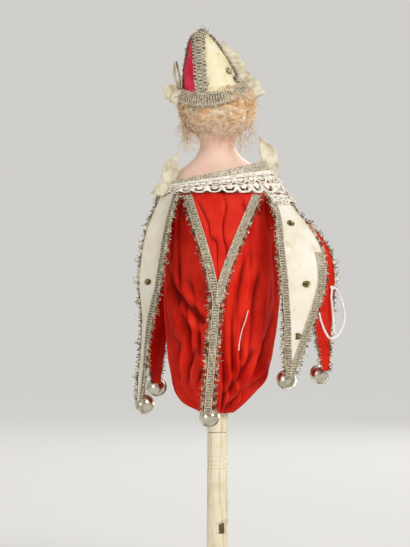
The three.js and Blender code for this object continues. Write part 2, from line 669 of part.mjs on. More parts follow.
function shoulderBow(azimuth, leaves) {
  const knotAt = collarPoint(azimuth, COLLAR_HEIGHT, LACE_THICKNESS + RIBBON_THICKNESS);
  return bow(knotAt, leaves, collarFilled());
}

function capBow() {
  const seat = capPoint(0.1, -80, -1.5 * RIBBON_THICKNESS);
  const leaves = [[11, 8, 80], [13, 6, 8], [9, 7, 128]];
  return bow(seat, leaves, capEnvelope(GAP), loft(hairRings(GAP)));
}

// The ribbon that runs down the cap's right side and out over the hair, ruffled along its length.
function capRibbon() {
  const clear = -GAP - RIBBON_THICKNESS;
  const hairHalf = HEAD_HALF_WIDTH + HAIR_THICKNESS;
  const line = new THREE.CatmullRomCurve3([
    capPoint(0.72, 72, clear), capPoint(0.45, 72, clear), capPoint(0.2, 72, clear),
    vec(-0.82 * hairHalf, CAP_BASE.y, CROWN_Z + 6), vec(-1.1 * hairHalf, CAP_BASE.y, CROWN_Z + 1),
    vec(-1.17 * hairHalf, CAP_BASE.y, CROWN_Z - 7),
  ]);
  const steps = 16;
  const rings = Array.from({ length: steps + 1 }, (_, i) => {
    const share = i / steps;
    const half = 1 + 3 * Math.sin(Math.PI * Math.min(1, 0.12 + share)) ** 0.5;
    const across = sideways(80);
    const face = across.clone().cross(line.getTangentAt(share)).normalize();
    const ruffle = 0.5 * (1 - Math.cos(4 * Math.PI * share));
    const at = line.getPointAt(share).addScaledVector(face, -ruffle);
    const corner = (u, v) => at.clone()
      .addScaledVector(across, u * half)
      .addScaledVector(face, (v * RIBBON_THICKNESS) / 2);
    return [corner(-1, -1), corner(1, -1), corner(1, 1), corner(-1, 1)];
  });
  return cut(loft(rings), capEnvelope(GAP), loft(hairRings(GAP)));
}

// The eight tabs. root, middle and tip are the azimuths of the middle line, in degrees, facing is the way
// the cloth faces below the root, and bell the way its bell faces. Lengths are shares: stands of the bag's
// radius, clear of the bag, drop of the tab length, down from the collar, and the three half widths of the
// tab half width. The last number is how far the root's corners bend in round the shoulders, in mm.
const TABS = [
  ['back', redSilk, [0, -1, -9], 0, -9, [0.108, 0.19], 1, [1.47, 0.26, 0.18], 6],
  ['back_right', creamSilk, [57, 56, 54], 32, 12, [0.825, 0.603], 0.8333, [0.6, 1, 0.567], 0],
  ['right', redSilk, [98, 92, 90], 46, 24, [0.84, 0.984], 0.8175, [0.533, 0.867, 0.467], 0],
  ['front_right', creamSilk, [139, 150, 160], 150, 168, [0.476, 0.54], 0.8968, [0.6, 0.8, 0.467], 0],
  ['front', redSilk, [180, 180, 180], 180, 180, [0.254, 0.381], 0.9524, [0.6, 0.8, 0.467], 0],
  ['front_left', creamSilk, [-139, -150, -160], -150, -168, [0.476, 0.54], 0.9048, [0.6, 0.8, 0.467], 0],
  ['left', redSilk, [-104, -112, -114], -135, 0, [0.232, 0.24], 0.881, [0.4, 0.667, 0.533], 0],
  ['back_left', creamSilk, [-55, -53, -56], -50, -16, [0.508, 0.683], 0.9444, [0.6, 0.667, 0.25], 0],
].map(([name, cloth, [root, middle, tip], facing, bell, [midStand, tipStand], drop, halfWidths, wrap]) => ({
  name,
  cloth,
  root,
  middle,
  tip,
  facing,
  bell,
  wrap,
  midStand: midStand * BAG_RADIUS,
  tipStand: tipStand * BAG_RADIUS,
  drop: drop * TAB_LENGTH,
  halfWidths: halfWidths.map((share) => share * TAB_HALF_WIDTH),
}));

// A tab's middle line. Its tip keeps far enough out for the bell to hang clear of the bag.
function tabLine(tab) {
  const root = collarPoint(tab.root, 0, LACE_THICKNESS / 2);
  root.z -= HINGE_GAP;
  const reach = (azimuth, stand, drop) => outward(azimuth)
    .multiplyScalar(BAG_RADIUS + stand)
    .setZ(COLLAR_Z - drop);
  const middle = reach(tab.middle, tab.midStand, tab.drop * 0.46);
  const bellTurn = degrees(BELL_REST_TILT);
  const bellLong = BELL_LOOP_HEIGHT + BELL_RADIUS;
  const bellZ = COLLAR_Z - tab.drop - bellLong * Math.sin(bellTurn);
  const bellClear = bagReachAt(bellZ) + bellLong * Math.cos(bellTurn) + BELL_RADIUS + GAP;
  const tip = reach(tab.tip, Math.max(tab.tipStand, bellClear - BAG_RADIUS), tab.drop);
  const shoulder = root.clone().lerp(middle, 0.4);
  shoulder.addScaledVector(outward(tab.root), tab.midStand * 0.14);
  return new THREE.CatmullRomCurve3([root, shoulder, middle, tip]);
}

const TAB_STEPS = 10;
const TAB_ACROSS = 4;

// One tab: a cupped leaf of stiffened silk, widest near its middle and pointed over its bell.
function tabSolid(tab) {
  const line = tabLine(tab);
  const widths = [...tab.halfWidths, TAB_TIP_HALF_WIDTH];
  const halfWidths = new THREE.CubicInterpolant([0, 0.45, 0.8, 1], widths, 1);
  const rings = Array.from({ length: TAB_STEPS + 1 }, (_, s) => {
    const share = s / TAB_STEPS;
    const centre = line.getPointAt(share);
    const along = line.getTangentAt(share);
    const turnIn = THREE.MathUtils.smoothstep(share, 0, 0.4);
    const across = sideways(THREE.MathUtils.lerp(tab.root, tab.facing, turnIn));
    const face = across.clone().cross(along).normalize();
    const [half] = halfWidths.evaluate(share);
    const row = (lift) => Array.from({ length: TAB_ACROSS + 1 }, (_unused, i) => {
      const u = (2 * i) / TAB_ACROSS - 1;
      const wrap = tab.wrap * THREE.MathUtils.smoothstep(0.3 - share, 0, 0.3);
      const cup = (TAB_CUP * Math.sin(Math.PI * Math.min(share * 1.6, 1)) - wrap) * u * u;
      return centre.clone().addScaledVector(across, u * half).addScaledVector(face, cup + lift);
    });
    return [...row(-TAB_CLOTH / 2), ...row(TAB_CLOTH / 2).reverse()];
  });
  return loft(rings);
}

// A bell of two crimped half shells with a slot below, and a wire loop on its crown.
// It is built hanging from the origin, with its axis along -Z.
function bellSolid() {
  const centre = -(BELL_LOOP_HEIGHT + BELL_RADIUS);
  const inner = BELL_RADIUS - BELL_WALL;
  const half = BELL_RIM_THICKNESS / 2;
  const arc = (radius, from, to, steps) => Array.from({ length: steps + 1 }, (_, i) => {
    const turn = degrees(THREE.MathUtils.lerp(from, to, i / steps));
    return [Math.max(0, radius * Math.cos(turn)), centre + radius * Math.sin(turn)];
  });
  const edge = THREE.MathUtils.radToDeg(Math.asin(half / BELL_RADIUS));
  const shell = turned([
    ...arc(BELL_RADIUS, -90, -edge, 3),
    [BELL_RADIUS + BELL_RIM, centre - half],
    [BELL_RADIUS + BELL_RIM, centre + half],
    ...arc(BELL_RADIUS, edge, 90, 3),
  ], 10);
  const hollow = turned(arc(inner, -90, 90, 4), 10);
  const slot = block(3 * BELL_RADIUS, BELL_SLOT, BELL_RADIUS, vec(0, 0, centre - BELL_RADIUS * 0.85));
  const loopRadius = BELL_LOOP_HEIGHT / 2;
  const torus = new THREE.TorusGeometry(loopRadius, BELL_LOOP_WIRE, 4, 7).rotateX(Math.PI / 2);
  const loop = solidFrom(torus.translate(0, 0, -loopRadius - BELL_LOOP_WIRE / 2));
  return cut(join(shell, loop), hollow, slot);
}

function pelletSolid() {
  const floor = -(BELL_LOOP_HEIGHT + 2 * BELL_RADIUS - BELL_WALL);
  return ball(PELLET_RADIUS, vec(0, 0, floor + PELLET_RADIUS + 3 * GAP), 8, 4);
}

// Where a tab's bell hangs, just inside the tip, and the turn that sets the bell at rest.
function bellPlace(tab) {
  const tip = tabLine(tab).getPointAt(1);
  const inside = TAB_CLOTH / 2 + BELL_LOOP_WIRE + GAP;
  return tip.addScaledVector(outward(tab.bell), -inside);
}

function hungBell(tab, solid) {
  const at = bellPlace(tab);
  return solid.rotate([-(90 - BELL_REST_TILT), 0, 0]).rotate([0, 0, tab.bell]).translate(at.toArray());
}

// The white string: it leaves the back edge of the right tab, swings out in a loop and is caught up
// on the tab's face.
const STRING_ROUTE = [
  [1, 3.96, -8.64], [-0.5, 3.76, -14.44], [-2.7, 3.88, -19.84], [-5.8, 4.08, -23.84],
  [-9.97, 2.68, -22.04], [-13.37, 0.68, -16.24], [-14.17, -2.32, -9.14], [-12.57, -5.32, -1.64],
  [-10.17, -7.52, 3.76], [-7.77, -5.92, 5.96], [-6.67, -4.42, 1.36], [-7.17, -2.92, -6.64],
  [-7.77, -1.72, -14.64], [-7.97, -0.92, -20.24],
];

function stringLoop() {
  const from = tabLine(TABS.find(({ name }) => name === 'right')).getPointAt(0.6);
  const route = new THREE.CatmullRomCurve3(STRING_ROUTE.map((step) => vec(...step).add(from)));
  const section = new THREE.Shape();
  section.absarc(0, 0, STRING_RADIUS, 0, 2 * Math.PI);
  const settings = { steps: 32, extrudePath: route, curveSegments: 3, bevelEnabled: false };
  return solidFrom(new THREE.ExtrudeGeometry(section, settings));
}

const add = (name, solid, material) => marotte.add(meshFrom(name, solid, material));

// Handle
add('handle_tube', handleTube(), bone);
add('whistle_plug', whistlePlug(), pearwood);
add('handle_ferrule', ring(SPINDLE_RADIUS + GAP, FERRULE_RADIUS, ferruleBase, ferruleTop), bone);
add('spindle', rod(SPINDLE_RADIUS, HANDLE_LENGTH - SOCKET_DEPTH + GAP, spindleTop), steel);
add('thrust_washer', ring(
  SPINDLE_RADIUS + GAP, WASHER_RADIUS, washerBase, washerBase + WASHER_THICKNESS,
), brass);
add('spindle_worm', wormSolid(barrelAxisZ), brass);

// Drum and movement
const bushRadius = spindleHole + BUSH_WALL;
add('drum_bottom', ring(bushRadius + GAP, discRadius, drumBase, drumFloor), limewood);
add('spindle_bush', ring(spindleHole, bushRadius, drumBase, drumFloor), brass);
add('drum_wall', ring(DRUM_RADIUS - DRUM_WALL, DRUM_RADIUS, drumBase, drumTop, FINE), pasteboard);
add('drum_top', turned([
  [0, spindleTop + RUNNING_GAP], [spindleHole, spindleTop + RUNNING_GAP], [spindleHole, drumCeiling],
  [discRadius, drumCeiling], [discRadius, drumTop], [0, drumTop],
]), limewood);
add('barrel_frame', barrelFrame(), brass);
add('comb_rest', combRest(), brass);
add('comb', combPlate(), steel);
add('comb_screw', combScrew(), steel);
add('barrel', pinnedBarrel(), brass);
add('barrel_wheel', barrelWheel(), brass);
add('barrel_arbor', onBarrelAxis(rod(
  ARBOR_RADIUS, frameInner[0] - FRAME_THICKNESS - 1, frameInner[1] + FRAME_THICKNESS + 1, 12,
)), steel);

// Body, head and wig
add('torso_padding', torsoPadding(), wadding);
add('neck_post', rod(NECK_POST_RADIUS, drumTop + GAP, postTop), limewood);
add('silk_bag', silkBag(), redSilk);
add('shoulder_head', shoulderHead(), bisque);
add('eye_left', ball(EYE_RADIUS, eyeAt(1)), glassEye);
add('eye_right', ball(EYE_RADIUS, eyeAt(-1)), glassEye);
add('pate', corkPate(), cork);
add('wig', wigSolid(), mohair);

// Cap and ribbons
['cream_back', 'red_right', 'cream_front', 'red_left'].forEach((place, quarter) => {
  add(`cap_gore_${place}`, capGore(quarter), quarter % 2 ? capRed : creamSilk);
});
add('cap_bow_right', capRibbon(), ribbon);
add('cap_bow_left', capBow(), ribbon);

// Collar
add('lace_collar', collarBand(0, COLLAR_HEIGHT, 0, LACE_THICKNESS), lace);
const braidLow = COLLAR_HEIGHT + GAP;
add('neckline_braid', collarBand(braidLow, braidLow + BRAID_WIDTH, 0, BRAID_THICKNESS), tinsel);
add('shoulder_bow_right', shoulderBow(78, [
  [BOW_LENGTH, BOW_WIDTH, 18], [0.41 * BOW_LENGTH, 0.89 * BOW_WIDTH, 200],
]), ribbon);
add('shoulder_bow_left', shoulderBow(-62, [
  [0.91 * BOW_LENGTH, BOW_WIDTH, -14], [0.45 * BOW_LENGTH, 0.78 * BOW_WIDTH, 98],
]), ribbon);

// Tabs, bells and string
const bell = bellSolid();
const pellet = pelletSolid();
TABS.forEach((tab) => {
  add(`tab_${tab.name}`, tabSolid(tab), tab.cloth);
  add(`bell_${tab.name}`, hungBell(tab, bell), nickel);
  add(`bell_pellet_${tab.name}`, hungBell(tab, pellet), steel);
});
add('string_loop', stringLoop(), cotton);

export default marotte;
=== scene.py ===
# %% [markdown]
# # A musical marotte, seen from the back
# A marotte is a doll's head on a stick. This one has a bone whistle for a handle, a silk bag over a
# small music box, a costume of pointed tabs with bells, and a peaked cap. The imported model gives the
# pieces, joints and sizes, and this lesson dresses them.

# %% Load the fixed frame
import json
import math
import random

import bpy
import bmesh
import numpy as np
from mathutils import Matrix, Vector, noise as noise_field


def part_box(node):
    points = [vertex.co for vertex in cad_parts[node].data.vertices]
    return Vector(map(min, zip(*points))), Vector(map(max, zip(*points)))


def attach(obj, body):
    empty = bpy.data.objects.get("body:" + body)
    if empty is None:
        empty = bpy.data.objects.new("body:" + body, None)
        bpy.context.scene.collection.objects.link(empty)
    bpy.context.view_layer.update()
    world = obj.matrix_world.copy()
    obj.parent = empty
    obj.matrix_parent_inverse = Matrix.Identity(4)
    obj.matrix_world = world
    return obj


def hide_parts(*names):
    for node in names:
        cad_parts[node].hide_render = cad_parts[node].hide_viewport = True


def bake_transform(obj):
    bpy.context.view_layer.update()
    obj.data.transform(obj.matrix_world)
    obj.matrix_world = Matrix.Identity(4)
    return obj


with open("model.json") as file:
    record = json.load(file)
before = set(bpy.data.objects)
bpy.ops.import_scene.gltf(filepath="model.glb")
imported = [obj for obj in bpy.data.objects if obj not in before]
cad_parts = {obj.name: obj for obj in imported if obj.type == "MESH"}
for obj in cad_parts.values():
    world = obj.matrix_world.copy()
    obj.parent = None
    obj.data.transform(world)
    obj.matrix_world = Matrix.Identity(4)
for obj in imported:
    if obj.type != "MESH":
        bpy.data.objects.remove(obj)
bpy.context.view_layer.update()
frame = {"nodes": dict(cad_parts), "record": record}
MM = 0.001

# %% [markdown]
# ## Places on the object
# The doll faces -Y. An azimuth runs from its back (+Y) towards its right-hand side (-X), which is the
# right-hand side of the picture. Most of the costume is cloth that was cut flat and bent, so a small
# spline helper and two direction helpers place nearly every piece.


# %% Directions and splines
def outward(azimuth):
    """The horizontal direction at an azimuth in degrees."""
    turn = math.radians(azimuth)
    return Vector((-math.sin(turn), math.cos(turn), 0))


def sideways(azimuth):
    """The horizontal direction along the cloth's width at an azimuth in degrees."""
    turn = math.radians(azimuth)
    return Vector((math.cos(turn), math.sin(turn), 0))


def lerp(a, b, share):
    return a + (b - a) * share


def ease(low, high, x):
    """Goes smoothly from 0 at low to 1 at high."""
    share = min(max((x - low) / (high - low), 0), 1)
    return share * share * (3 - 2 * share)


def through(stations, x):
    """A smooth value at x through (place, value) stations."""
    if x <= stations[0][0]:
        return stations[0][1]
    padded = [stations[0], *stations, stations[-1]]
    slopes = [(after[1] - before[1]) / (after[0] - before[0]) for before, after in zip(padded, padded[2:])]
    for i, (left, right) in enumerate(zip(stations, stations[1:])):
        if x <= right[0]:
            span = right[0] - left[0]
            t = (x - left[0]) / span
            return (
                (2 * t**3 - 3 * t**2 + 1) * left[1] + (t**3 - 2 * t**2 + t) * span * slopes[i]
                + (3 * t**2 - 2 * t**3) * right[1] + (t**3 - t**2) * span * slopes[i + 1]
            )
    return stations[-1][1]


TANGENT_STEP = 0.004


class Path:
    """A centripetal spline through points, read by its share of the length."""

    def __init__(self, points, steps=24):
        points = [Vector(p) for p in points]
        ends = [2 * points[0] - points[1], *points, 2 * points[-1] - points[-2]]
        self.samples = []
        for i in range(len(points) - 1):
            p0, p1, p2, p3 = ends[i:i + 4]
            knots = [0.0]
            for a, b in ((p0, p1), (p1, p2), (p2, p3)):
                knots.append(knots[-1] + max((b - a).length, 1e-9) ** 0.5)
            t0, t1, t2, t3 = knots
            for s in range(steps + (i == len(points) - 2)):
                t = lerp(t1, t2, s / steps)
                a1 = ((t1 - t) * p0 + (t - t0) * p1) / (t1 - t0)
                a2 = ((t2 - t) * p1 + (t - t1) * p2) / (t2 - t1)
                a3 = ((t3 - t) * p2 + (t - t2) * p3) / (t3 - t2)
                b1 = ((t2 - t) * a1 + (t - t0) * a2) / (t2 - t0)
                b2 = ((t3 - t) * a2 + (t - t1) * a3) / (t3 - t1)
                self.samples.append(((t2 - t) * b1 + (t - t1) * b2) / (t2 - t1))
        self.lengths = [0.0]
        for a, b in zip(self.samples, self.samples[1:]):
            self.lengths.append(self.lengths[-1] + (b - a).length)
        self.length = self.lengths[-1]

    def at(self, share):
        goal = min(max(share, 0), 1) * self.length
        i = int(np.searchsorted(self.lengths, goal, side="right")) - 1
        i = min(i, len(self.samples) - 2)
        step = self.lengths[i + 1] - self.lengths[i]
        return self.samples[i].lerp(self.samples[i + 1], (goal - self.lengths[i]) / max(step, 1e-12))

    def tangent(self, share):
        ahead, behind = min(share + TANGENT_STEP, 1), max(share - TANGENT_STEP, 0)
        return (self.at(ahead) - self.at(behind)).normalized()


# %% [markdown]
# ## Making pieces
# Each new piece starts as one of Blender's primitives. Cloth starts as a grid, which brings a UV map
# with it, and its points are then moved to their places on the object. Threads start as curves with a
# round bevel. Each piece ends at the origin, unturned, with its place in its mesh.


# %% Starting pieces
def fresh():
    """Leaves nothing selected, in object mode."""
    if bpy.context.object and bpy.context.object.mode != "OBJECT":
        bpy.ops.object.mode_set(mode="OBJECT")
    bpy.ops.object.select_all(action="DESELECT")


def only(piece):
    fresh()
    piece.select_set(True)
    bpy.context.view_layer.objects.active = piece


def cloth_grid(name, across, along, place):
    """A grid of across by along faces, its point at (u, v) moved to place(u, v)."""
    fresh()
    bpy.ops.mesh.primitive_grid_add(x_subdivisions=across, y_subdivisions=along, size=1)
    piece = bpy.context.object
    piece.name = piece.data.name = name
    for vertex in piece.data.vertices:
        vertex.co = place(vertex.co.x + 0.5, vertex.co.y + 0.5)
    return piece


WELD = 1e-6


def close_up(piece, reach=WELD):
    """Merges the points that meet, and turns the faces out."""
    only(piece)
    bpy.ops.object.mode_set(mode="EDIT")
    bpy.ops.mesh.select_all(action="SELECT")
    bpy.ops.mesh.remove_doubles(threshold=reach)
    bpy.ops.mesh.normals_make_consistent(inside=False)
    bpy.ops.object.mode_set(mode="OBJECT")
    return piece


# %% Finishing pieces
def finish_with(piece, kind, **settings):
    """Adds a modifier with its settings and applies it."""
    only(piece)
    modifier = piece.modifiers.new(kind.title(), kind)
    for key, value in settings.items():
        setattr(modifier, key, value)
    bpy.ops.object.modifier_apply(modifier=modifier.name)
    return piece


def smooth(piece, angle=None):
    only(piece)
    if angle is None:
        bpy.ops.object.shade_smooth()
    else:
        bpy.ops.object.shade_smooth_by_angle(angle=math.radians(angle))
    return piece


# %% Threads, joining and dressing
def threads(name, lines, radius, sides=3):
    """Round threads along lists of points, as one curve and then one mesh."""
    data = bpy.data.curves.new(name, "CURVE")
    data.dimensions = "3D"
    data.bevel_depth = radius
    data.bevel_resolution = max(0, (sides - 4) // 2)
    data.use_fill_caps = True
    for line in lines:
        spline = data.splines.new("POLY")
        spline.points.add(len(line) - 1)
        for point, place in zip(spline.points, line):
            point.co = (*place[:3], 1)
            if len(place) > 3:
                point.radius = place[3]
    piece = bpy.data.objects.new(name, data)
    bpy.context.scene.collection.objects.link(piece)
    only(piece)
    bpy.ops.object.convert(target="MESH")
    return smooth(bpy.context.object)


def join_up(pieces, name):
    fresh()
    for piece in pieces:
        piece.select_set(True)
    bpy.context.view_layer.objects.active = pieces[0]
    if len(pieces) > 1:
        bpy.ops.object.join()
    piece = bpy.context.object
    piece.name = piece.data.name = name
    return piece


def dress(piece, material, body, slot=None, replaces=()):
    """Gives a piece its finish and its body if it rides on one, and hides the nodes it stands for. Its slot
    is not used.
    """
    piece.data.materials.clear()
    piece.data.materials.append(material)
    if body:
        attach(piece, body)
    if replaces:
        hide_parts(*replaces)
    return piece


# %% [markdown]
# ## The camera
# The photograph looks straight at the doll's back, from well away. It cuts off the last of the handle,
# and its middle lies left of the handle and a little above the bag's middle. One pixel of the
# photograph is 0.58 mm on the object.

# %% Camera
PHOTO_WIDTH, PHOTO_HEIGHT = 410, 547
MM_PER_PIXEL = 0.58
HANDLE_AXIS_PIXEL = 217.5
HANDLE_END_PIXEL = 583
CAMERA_DISTANCE, CAMERA_REACH = 1.5, 20

aim_x = (HANDLE_AXIS_PIXEL - PHOTO_WIDTH / 2) * MM_PER_PIXEL
aim_z = (HANDLE_END_PIXEL - PHOTO_HEIGHT / 2) * MM_PER_PIXEL
aim = Vector((aim_x, 0, aim_z)) * MM
fresh()
bpy.ops.object.camera_add(
    location=aim + Vector((0, CAMERA_DISTANCE, 0)), rotation=(math.pi / 2, 0, math.pi)
)
camera = bpy.context.object
camera.data.sensor_fit = "VERTICAL"
camera.data.angle = 2 * math.atan(PHOTO_HEIGHT * MM_PER_PIXEL * MM / 2 / CAMERA_DISTANCE)
camera.data.clip_end = CAMERA_REACH
bpy.context.scene.camera = camera
print("camera aims at", [round(x, 4) for x in aim])

# %% [markdown]
# ## Finishes
# Each finish is built from nodes on the piece's own coordinates, at the size of the real grain or
# thread. Colours are written as sRGB and turned to linear. A thread that is finer than a pixel of the
# picture is drawn coarser, as the comments say.


# %% Colours and nodes
def linear(hex_colour):
    """An sRGB hex colour as linear RGBA."""
    values = [int(hex_colour[i:i + 2], 16) / 255 for i in (1, 3, 5)]
    return tuple(v / 12.92 if v <= 0.04045 else ((v + 0.055) / 1.055) ** 2.4 for v in values) + (1,)


def node(tree, kind, inputs=None, **settings):
    """Adds one node, sets it up and links or fills its inputs."""
    made = tree.nodes.new(kind)
    for key, value in settings.items():
        setattr(made, key, value)
    for key, value in (inputs or {}).items():
        if isinstance(value, bpy.types.NodeSocket):
            tree.links.new(value, made.inputs[key])
        else:
            made.inputs[key].default_value = value
    return made


def finish_of(name, **shader):
    """A material with one Principled shader, and its node tree and shader."""
    material = bpy.data.materials.new(name)
    material.use_nodes = True
    tree = material.node_tree
    bsdf = tree.nodes["Principled BSDF"]
    for key, value in shader.items():
        bsdf.inputs[key.replace("_", " ")].default_value = value
    return material, tree, bsdf


# %% Patches of colour
def patches(tree, size_mm, colours, spread=(0.35, 0.65), detail=4, squeeze=(1, 1, 1)):
    """A noise of patches of a size, as a colour ramp between (sRGB) colours. Returns colour and noise."""
    where = node(tree, "ShaderNodeTexCoord").outputs["Object"]
    where = node(tree, "ShaderNodeMapping", {"Vector": where, "Scale": squeeze}).outputs["Vector"]
    noise = node(tree, "ShaderNodeTexNoise", {
        "Vector": where, "Scale": 1 / (size_mm * MM), "Detail": detail,
    }).outputs["Fac"]
    ramp = node(tree, "ShaderNodeValToRGB", {"Fac": noise})
    stops = ramp.color_ramp.elements
    while len(stops) < len(colours):
        stops.new(0.5)
    for i, colour in enumerate(colours):
        stops[i].position = lerp(spread[0], spread[1], i / (len(colours) - 1))
        stops[i].color = linear(colour)
    return ramp.outputs["Color"], noise


def multiplied(tree, colour, tint, share=1.0):
    """A colour times a tint. Sockets 6, 7 and output 2 are the colour sockets of a Mix node."""
    mix = node(tree, "ShaderNodeMix", {0: share, 6: colour, 7: tint}, data_type="RGBA", blend_type="MULTIPLY")
    return mix.outputs[2]


def between(tree, share, base, over):
    """A colour that goes from base to over by a share."""
    return node(tree, "ShaderNodeMix", {0: share, 6: base, 7: over}, data_type="RGBA").outputs[2]


def bump(tree, bsdf, height, depth_mm, strength):
    made = node(tree, "ShaderNodeBump", {"Height": height, "Distance": depth_mm * MM, "Strength": strength})
    tree.links.new(made.outputs["Normal"], bsdf.inputs["Normal"])


def patchy(name, colours, size_mm, spread, detail=4, relief=None, squeeze=(1, 1, 1), **shader):
    """A finish coloured in patches. relief is its depth in mm and its strength."""
    material, tree, bsdf = finish_of(name, **shader)
    colour, noise = patches(tree, size_mm, colours, spread, detail, squeeze)
    tree.links.new(colour, bsdf.inputs["Base Color"])
    if relief:
        bump(tree, bsdf, noise, *relief)
    return material


# %% Woven threads
WAVE_TURN = 2 * math.pi / 20  # a wave texture of scale 1 turns 20 radians over one unit


def weave(tree, columns, rows):
    """Crossing threads over the piece's UV map, as a height."""
    uv = node(tree, "ShaderNodeTexCoord").outputs["UV"]
    waves = []
    for direction, count in (("X", columns), ("Y", rows)):
        threads_of_it = {"Vector": uv, "Scale": count * WAVE_TURN}
        wave = node(tree, "ShaderNodeTexWave", threads_of_it, bands_direction=direction)
        waves.append(wave.outputs["Fac"])
    return node(tree, "ShaderNodeMath", {0: waves[0], 1: waves[1]}, operation="ADD").outputs[0]


# %% [markdown]
# ### Silk
# Old plain-woven silk: a soft sheen at the edges, fine threads both ways, and a colour that has faded
# in patches. The red of the bag and tabs leans to orange, the red of the cap to pink, and the cream
# has yellowed and picked up stains. The red of the bag and tabs is painted darker in its creases, as
# painted shade.


# %% Silk finishes
def silk(name, colours, patch_mm, columns, rows, stains=None, creases=None):
    """Silk that has faded in patches, stained where a stain colour is given, and with painted shade darkening
    its creases where a crease colour is given.
    """
    material, tree, bsdf = finish_of(
        name, Roughness=0.6, Sheen_Weight=0.06, Sheen_Roughness=0.4, Specular_IOR_Level=0.15
    )
    bsdf.inputs["Sheen Tint"].default_value = linear(colours[-1])
    colour, _ = patches(tree, patch_mm, colours)
    if stains:
        stain, _ = patches(tree, 9, ["#ffffff", "#ffffff", stains], (0.3, 0.95), detail=6)
        colour = multiplied(tree, colour, stain)
    # A crease colour is painted shade: it darkens the cloth where the crease attribute marks it hollow.
    if creases:
        inside = node(tree, "ShaderNodeAttribute", attribute_name="crease").outputs["Fac"]
        colour = between(tree, inside, colour, linear(creases))
    tree.links.new(colour, bsdf.inputs["Base Color"])
    bump(tree, bsdf, weave(tree, columns, rows), 0.05, 0.5)
    return material


# The threads of such silk lie 0.1 mm apart. They are drawn at about 0.6 mm so that they show.
# The bag and the red tabs get a dark red of painted shade in their creases.
bag_silk = silk("bag_red_silk", ["#cc1808", "#dd2410", "#e6301a"], 16, 360, 230, creases="#8a0d07")
tab_red_silk = silk("tab_red_silk", ["#c6170a", "#d62210", "#de2d19"], 14, 40, 180, creases="#8a0d07")
tab_cream_silk = silk("tab_cream_silk", ["#ece3cc", "#f3ecd9", "#f6f1e3"], 12, 40, 180, "#c3a878")
cap_red_silk = silk("cap_pink_red_silk", ["#d92848", "#e93756", "#ee4a68"], 8, 40, 70)
cap_cream_silk = silk("cap_cream_silk", ["#e8dcae", "#f0e6c0", "#f3ecd0"], 7, 40, 70, "#8f7a4a")
print("silks", [silk_finish.name for silk_finish in bpy.data.materials if "silk" in silk_finish.name])

# %% [markdown]
# ### Trim
# The braid is metal thread that has tarnished from silver to brown, so it keeps bright ribs and dull
# hollows. Its two edges are pale silk thread. The lace is ivory cotton, and the bows are beige ribbon
# with a fine cross rib.

# %% Trim finishes
braid_metal = patchy(
    "tarnished_metal_thread", ["#63563f", "#897c64", "#b0a48a"], 1.6, (0.36, 0.62), 2, (0.15, 0.6),
    Metallic=0.55, Roughness=0.38,
)
pale_braid = patchy(
    "pale_silver_braid", ["#8d7f6c", "#b8ab98", "#ddd3c4"], 1.2, (0.36, 0.62), 2, (0.12, 0.6),
    Metallic=0.4, Roughness=0.4,
)
tinsel_wire = patchy(
    "curled_tinsel_wire", ["#564833", "#9c8d6c", "#e9e1cb"], 2.5, (0.4, 0.6), 2, Metallic=0.7, Roughness=0.3
)
edge_thread = patchy(
    "pale_edge_thread", ["#97896f", "#c2b69e", "#e2d9c6"], 0.8, (0.35, 0.6), 2, (0.1, 0.6),
    Roughness=0.6, Sheen_Weight=0.2,
)
lace_cotton = patchy(
    "ivory_lace_cotton", ["#d9cdb2", "#f0e9d8", "#f9f5ea"], 3, (0.3, 0.55), 4, (0.1, 0.5),
    Roughness=0.85, Sheen_Weight=0.2,
)
spangle_metal = patchy(
    "dull_brass_spangle", ["#3f3620", "#7d6d44", "#c2b282"], 1.2, (0.35, 0.65), 3,
    Metallic=0.9, Roughness=0.38,
)

bow_ribbon, tree, bsdf = finish_of("beige_silk_ribbon", Roughness=0.5, Sheen_Weight=0.3, Sheen_Roughness=0.35)
colour, _ = patches(tree, 5, ["#bdae8c", "#dbd0b5", "#eae2cd"], (0.3, 0.65), detail=5)
tree.links.new(colour, bsdf.inputs["Base Color"])
bump(tree, bsdf, weave(tree, 14, 60), 0.06, 0.6)
print("trim finished")

# %% [markdown]
# ### Bisque, bone, hair, bells and string
# Bisque is unglazed tinted porcelain: matt, with a little light under the skin. Bone is polished, with
# fine dark grain along its length. Mohair is pale gold, painted paler still towards the nape as painted
# light that lifts the shade under the hair's lower edge, and its stray hairs look darker. The bells are
# plated and have dulled, and the string is white twisted cotton.

# %% Doll and handle finishes
# Heights in m between which the hair is painted paler towards the nape, as painted light.
NAPE_LIGHT_TOP, NAPE_LIGHT_FOOT = 0.272, 0.258

bisque, tree, bsdf = finish_of(
    "tinted_bisque", Roughness=0.5, IOR=1.5, Subsurface_Weight=0.12, Subsurface_Scale=0.002
)
bsdf.inputs["Subsurface Radius"].default_value = (1.0, 0.45, 0.3)
colour, noise = patches(tree, 14, ["#edc3ae", "#f2cfbc", "#f5d9c9"], (0.3, 0.7))
bisque_tree, bisque_shader, bisque_base = tree, bsdf, colour
bump(tree, bsdf, patches(tree, 0.7, ["#000000", "#ffffff"])[1], 0.03, 0.25)

bone, tree, bsdf = finish_of("polished_bone", Roughness=0.36, IOR=1.55, Coat_Weight=0.15, Coat_Roughness=0.3)
grain, streaks = patches(
    tree, 1.3, ["#b59a68", "#e0d2ab", "#eee5ca", "#f1e9d2"], (0.26, 0.62), detail=5, squeeze=(1, 1, 0.05)
)
dirt, _ = patches(tree, 11, ["#d8c597", "#fffaf0", "#ffffff"], (0.3, 0.6), detail=5)
tree.links.new(multiplied(tree, grain, dirt, 0.45), bsdf.inputs["Base Color"])
bump(tree, bsdf, streaks, 0.06, 0.4)

fine_mohair = patchy("stray_mohair", ["#b98c58", "#d8b27e", "#ecd0a4"], 4, (0.32, 0.62), Roughness=0.6)

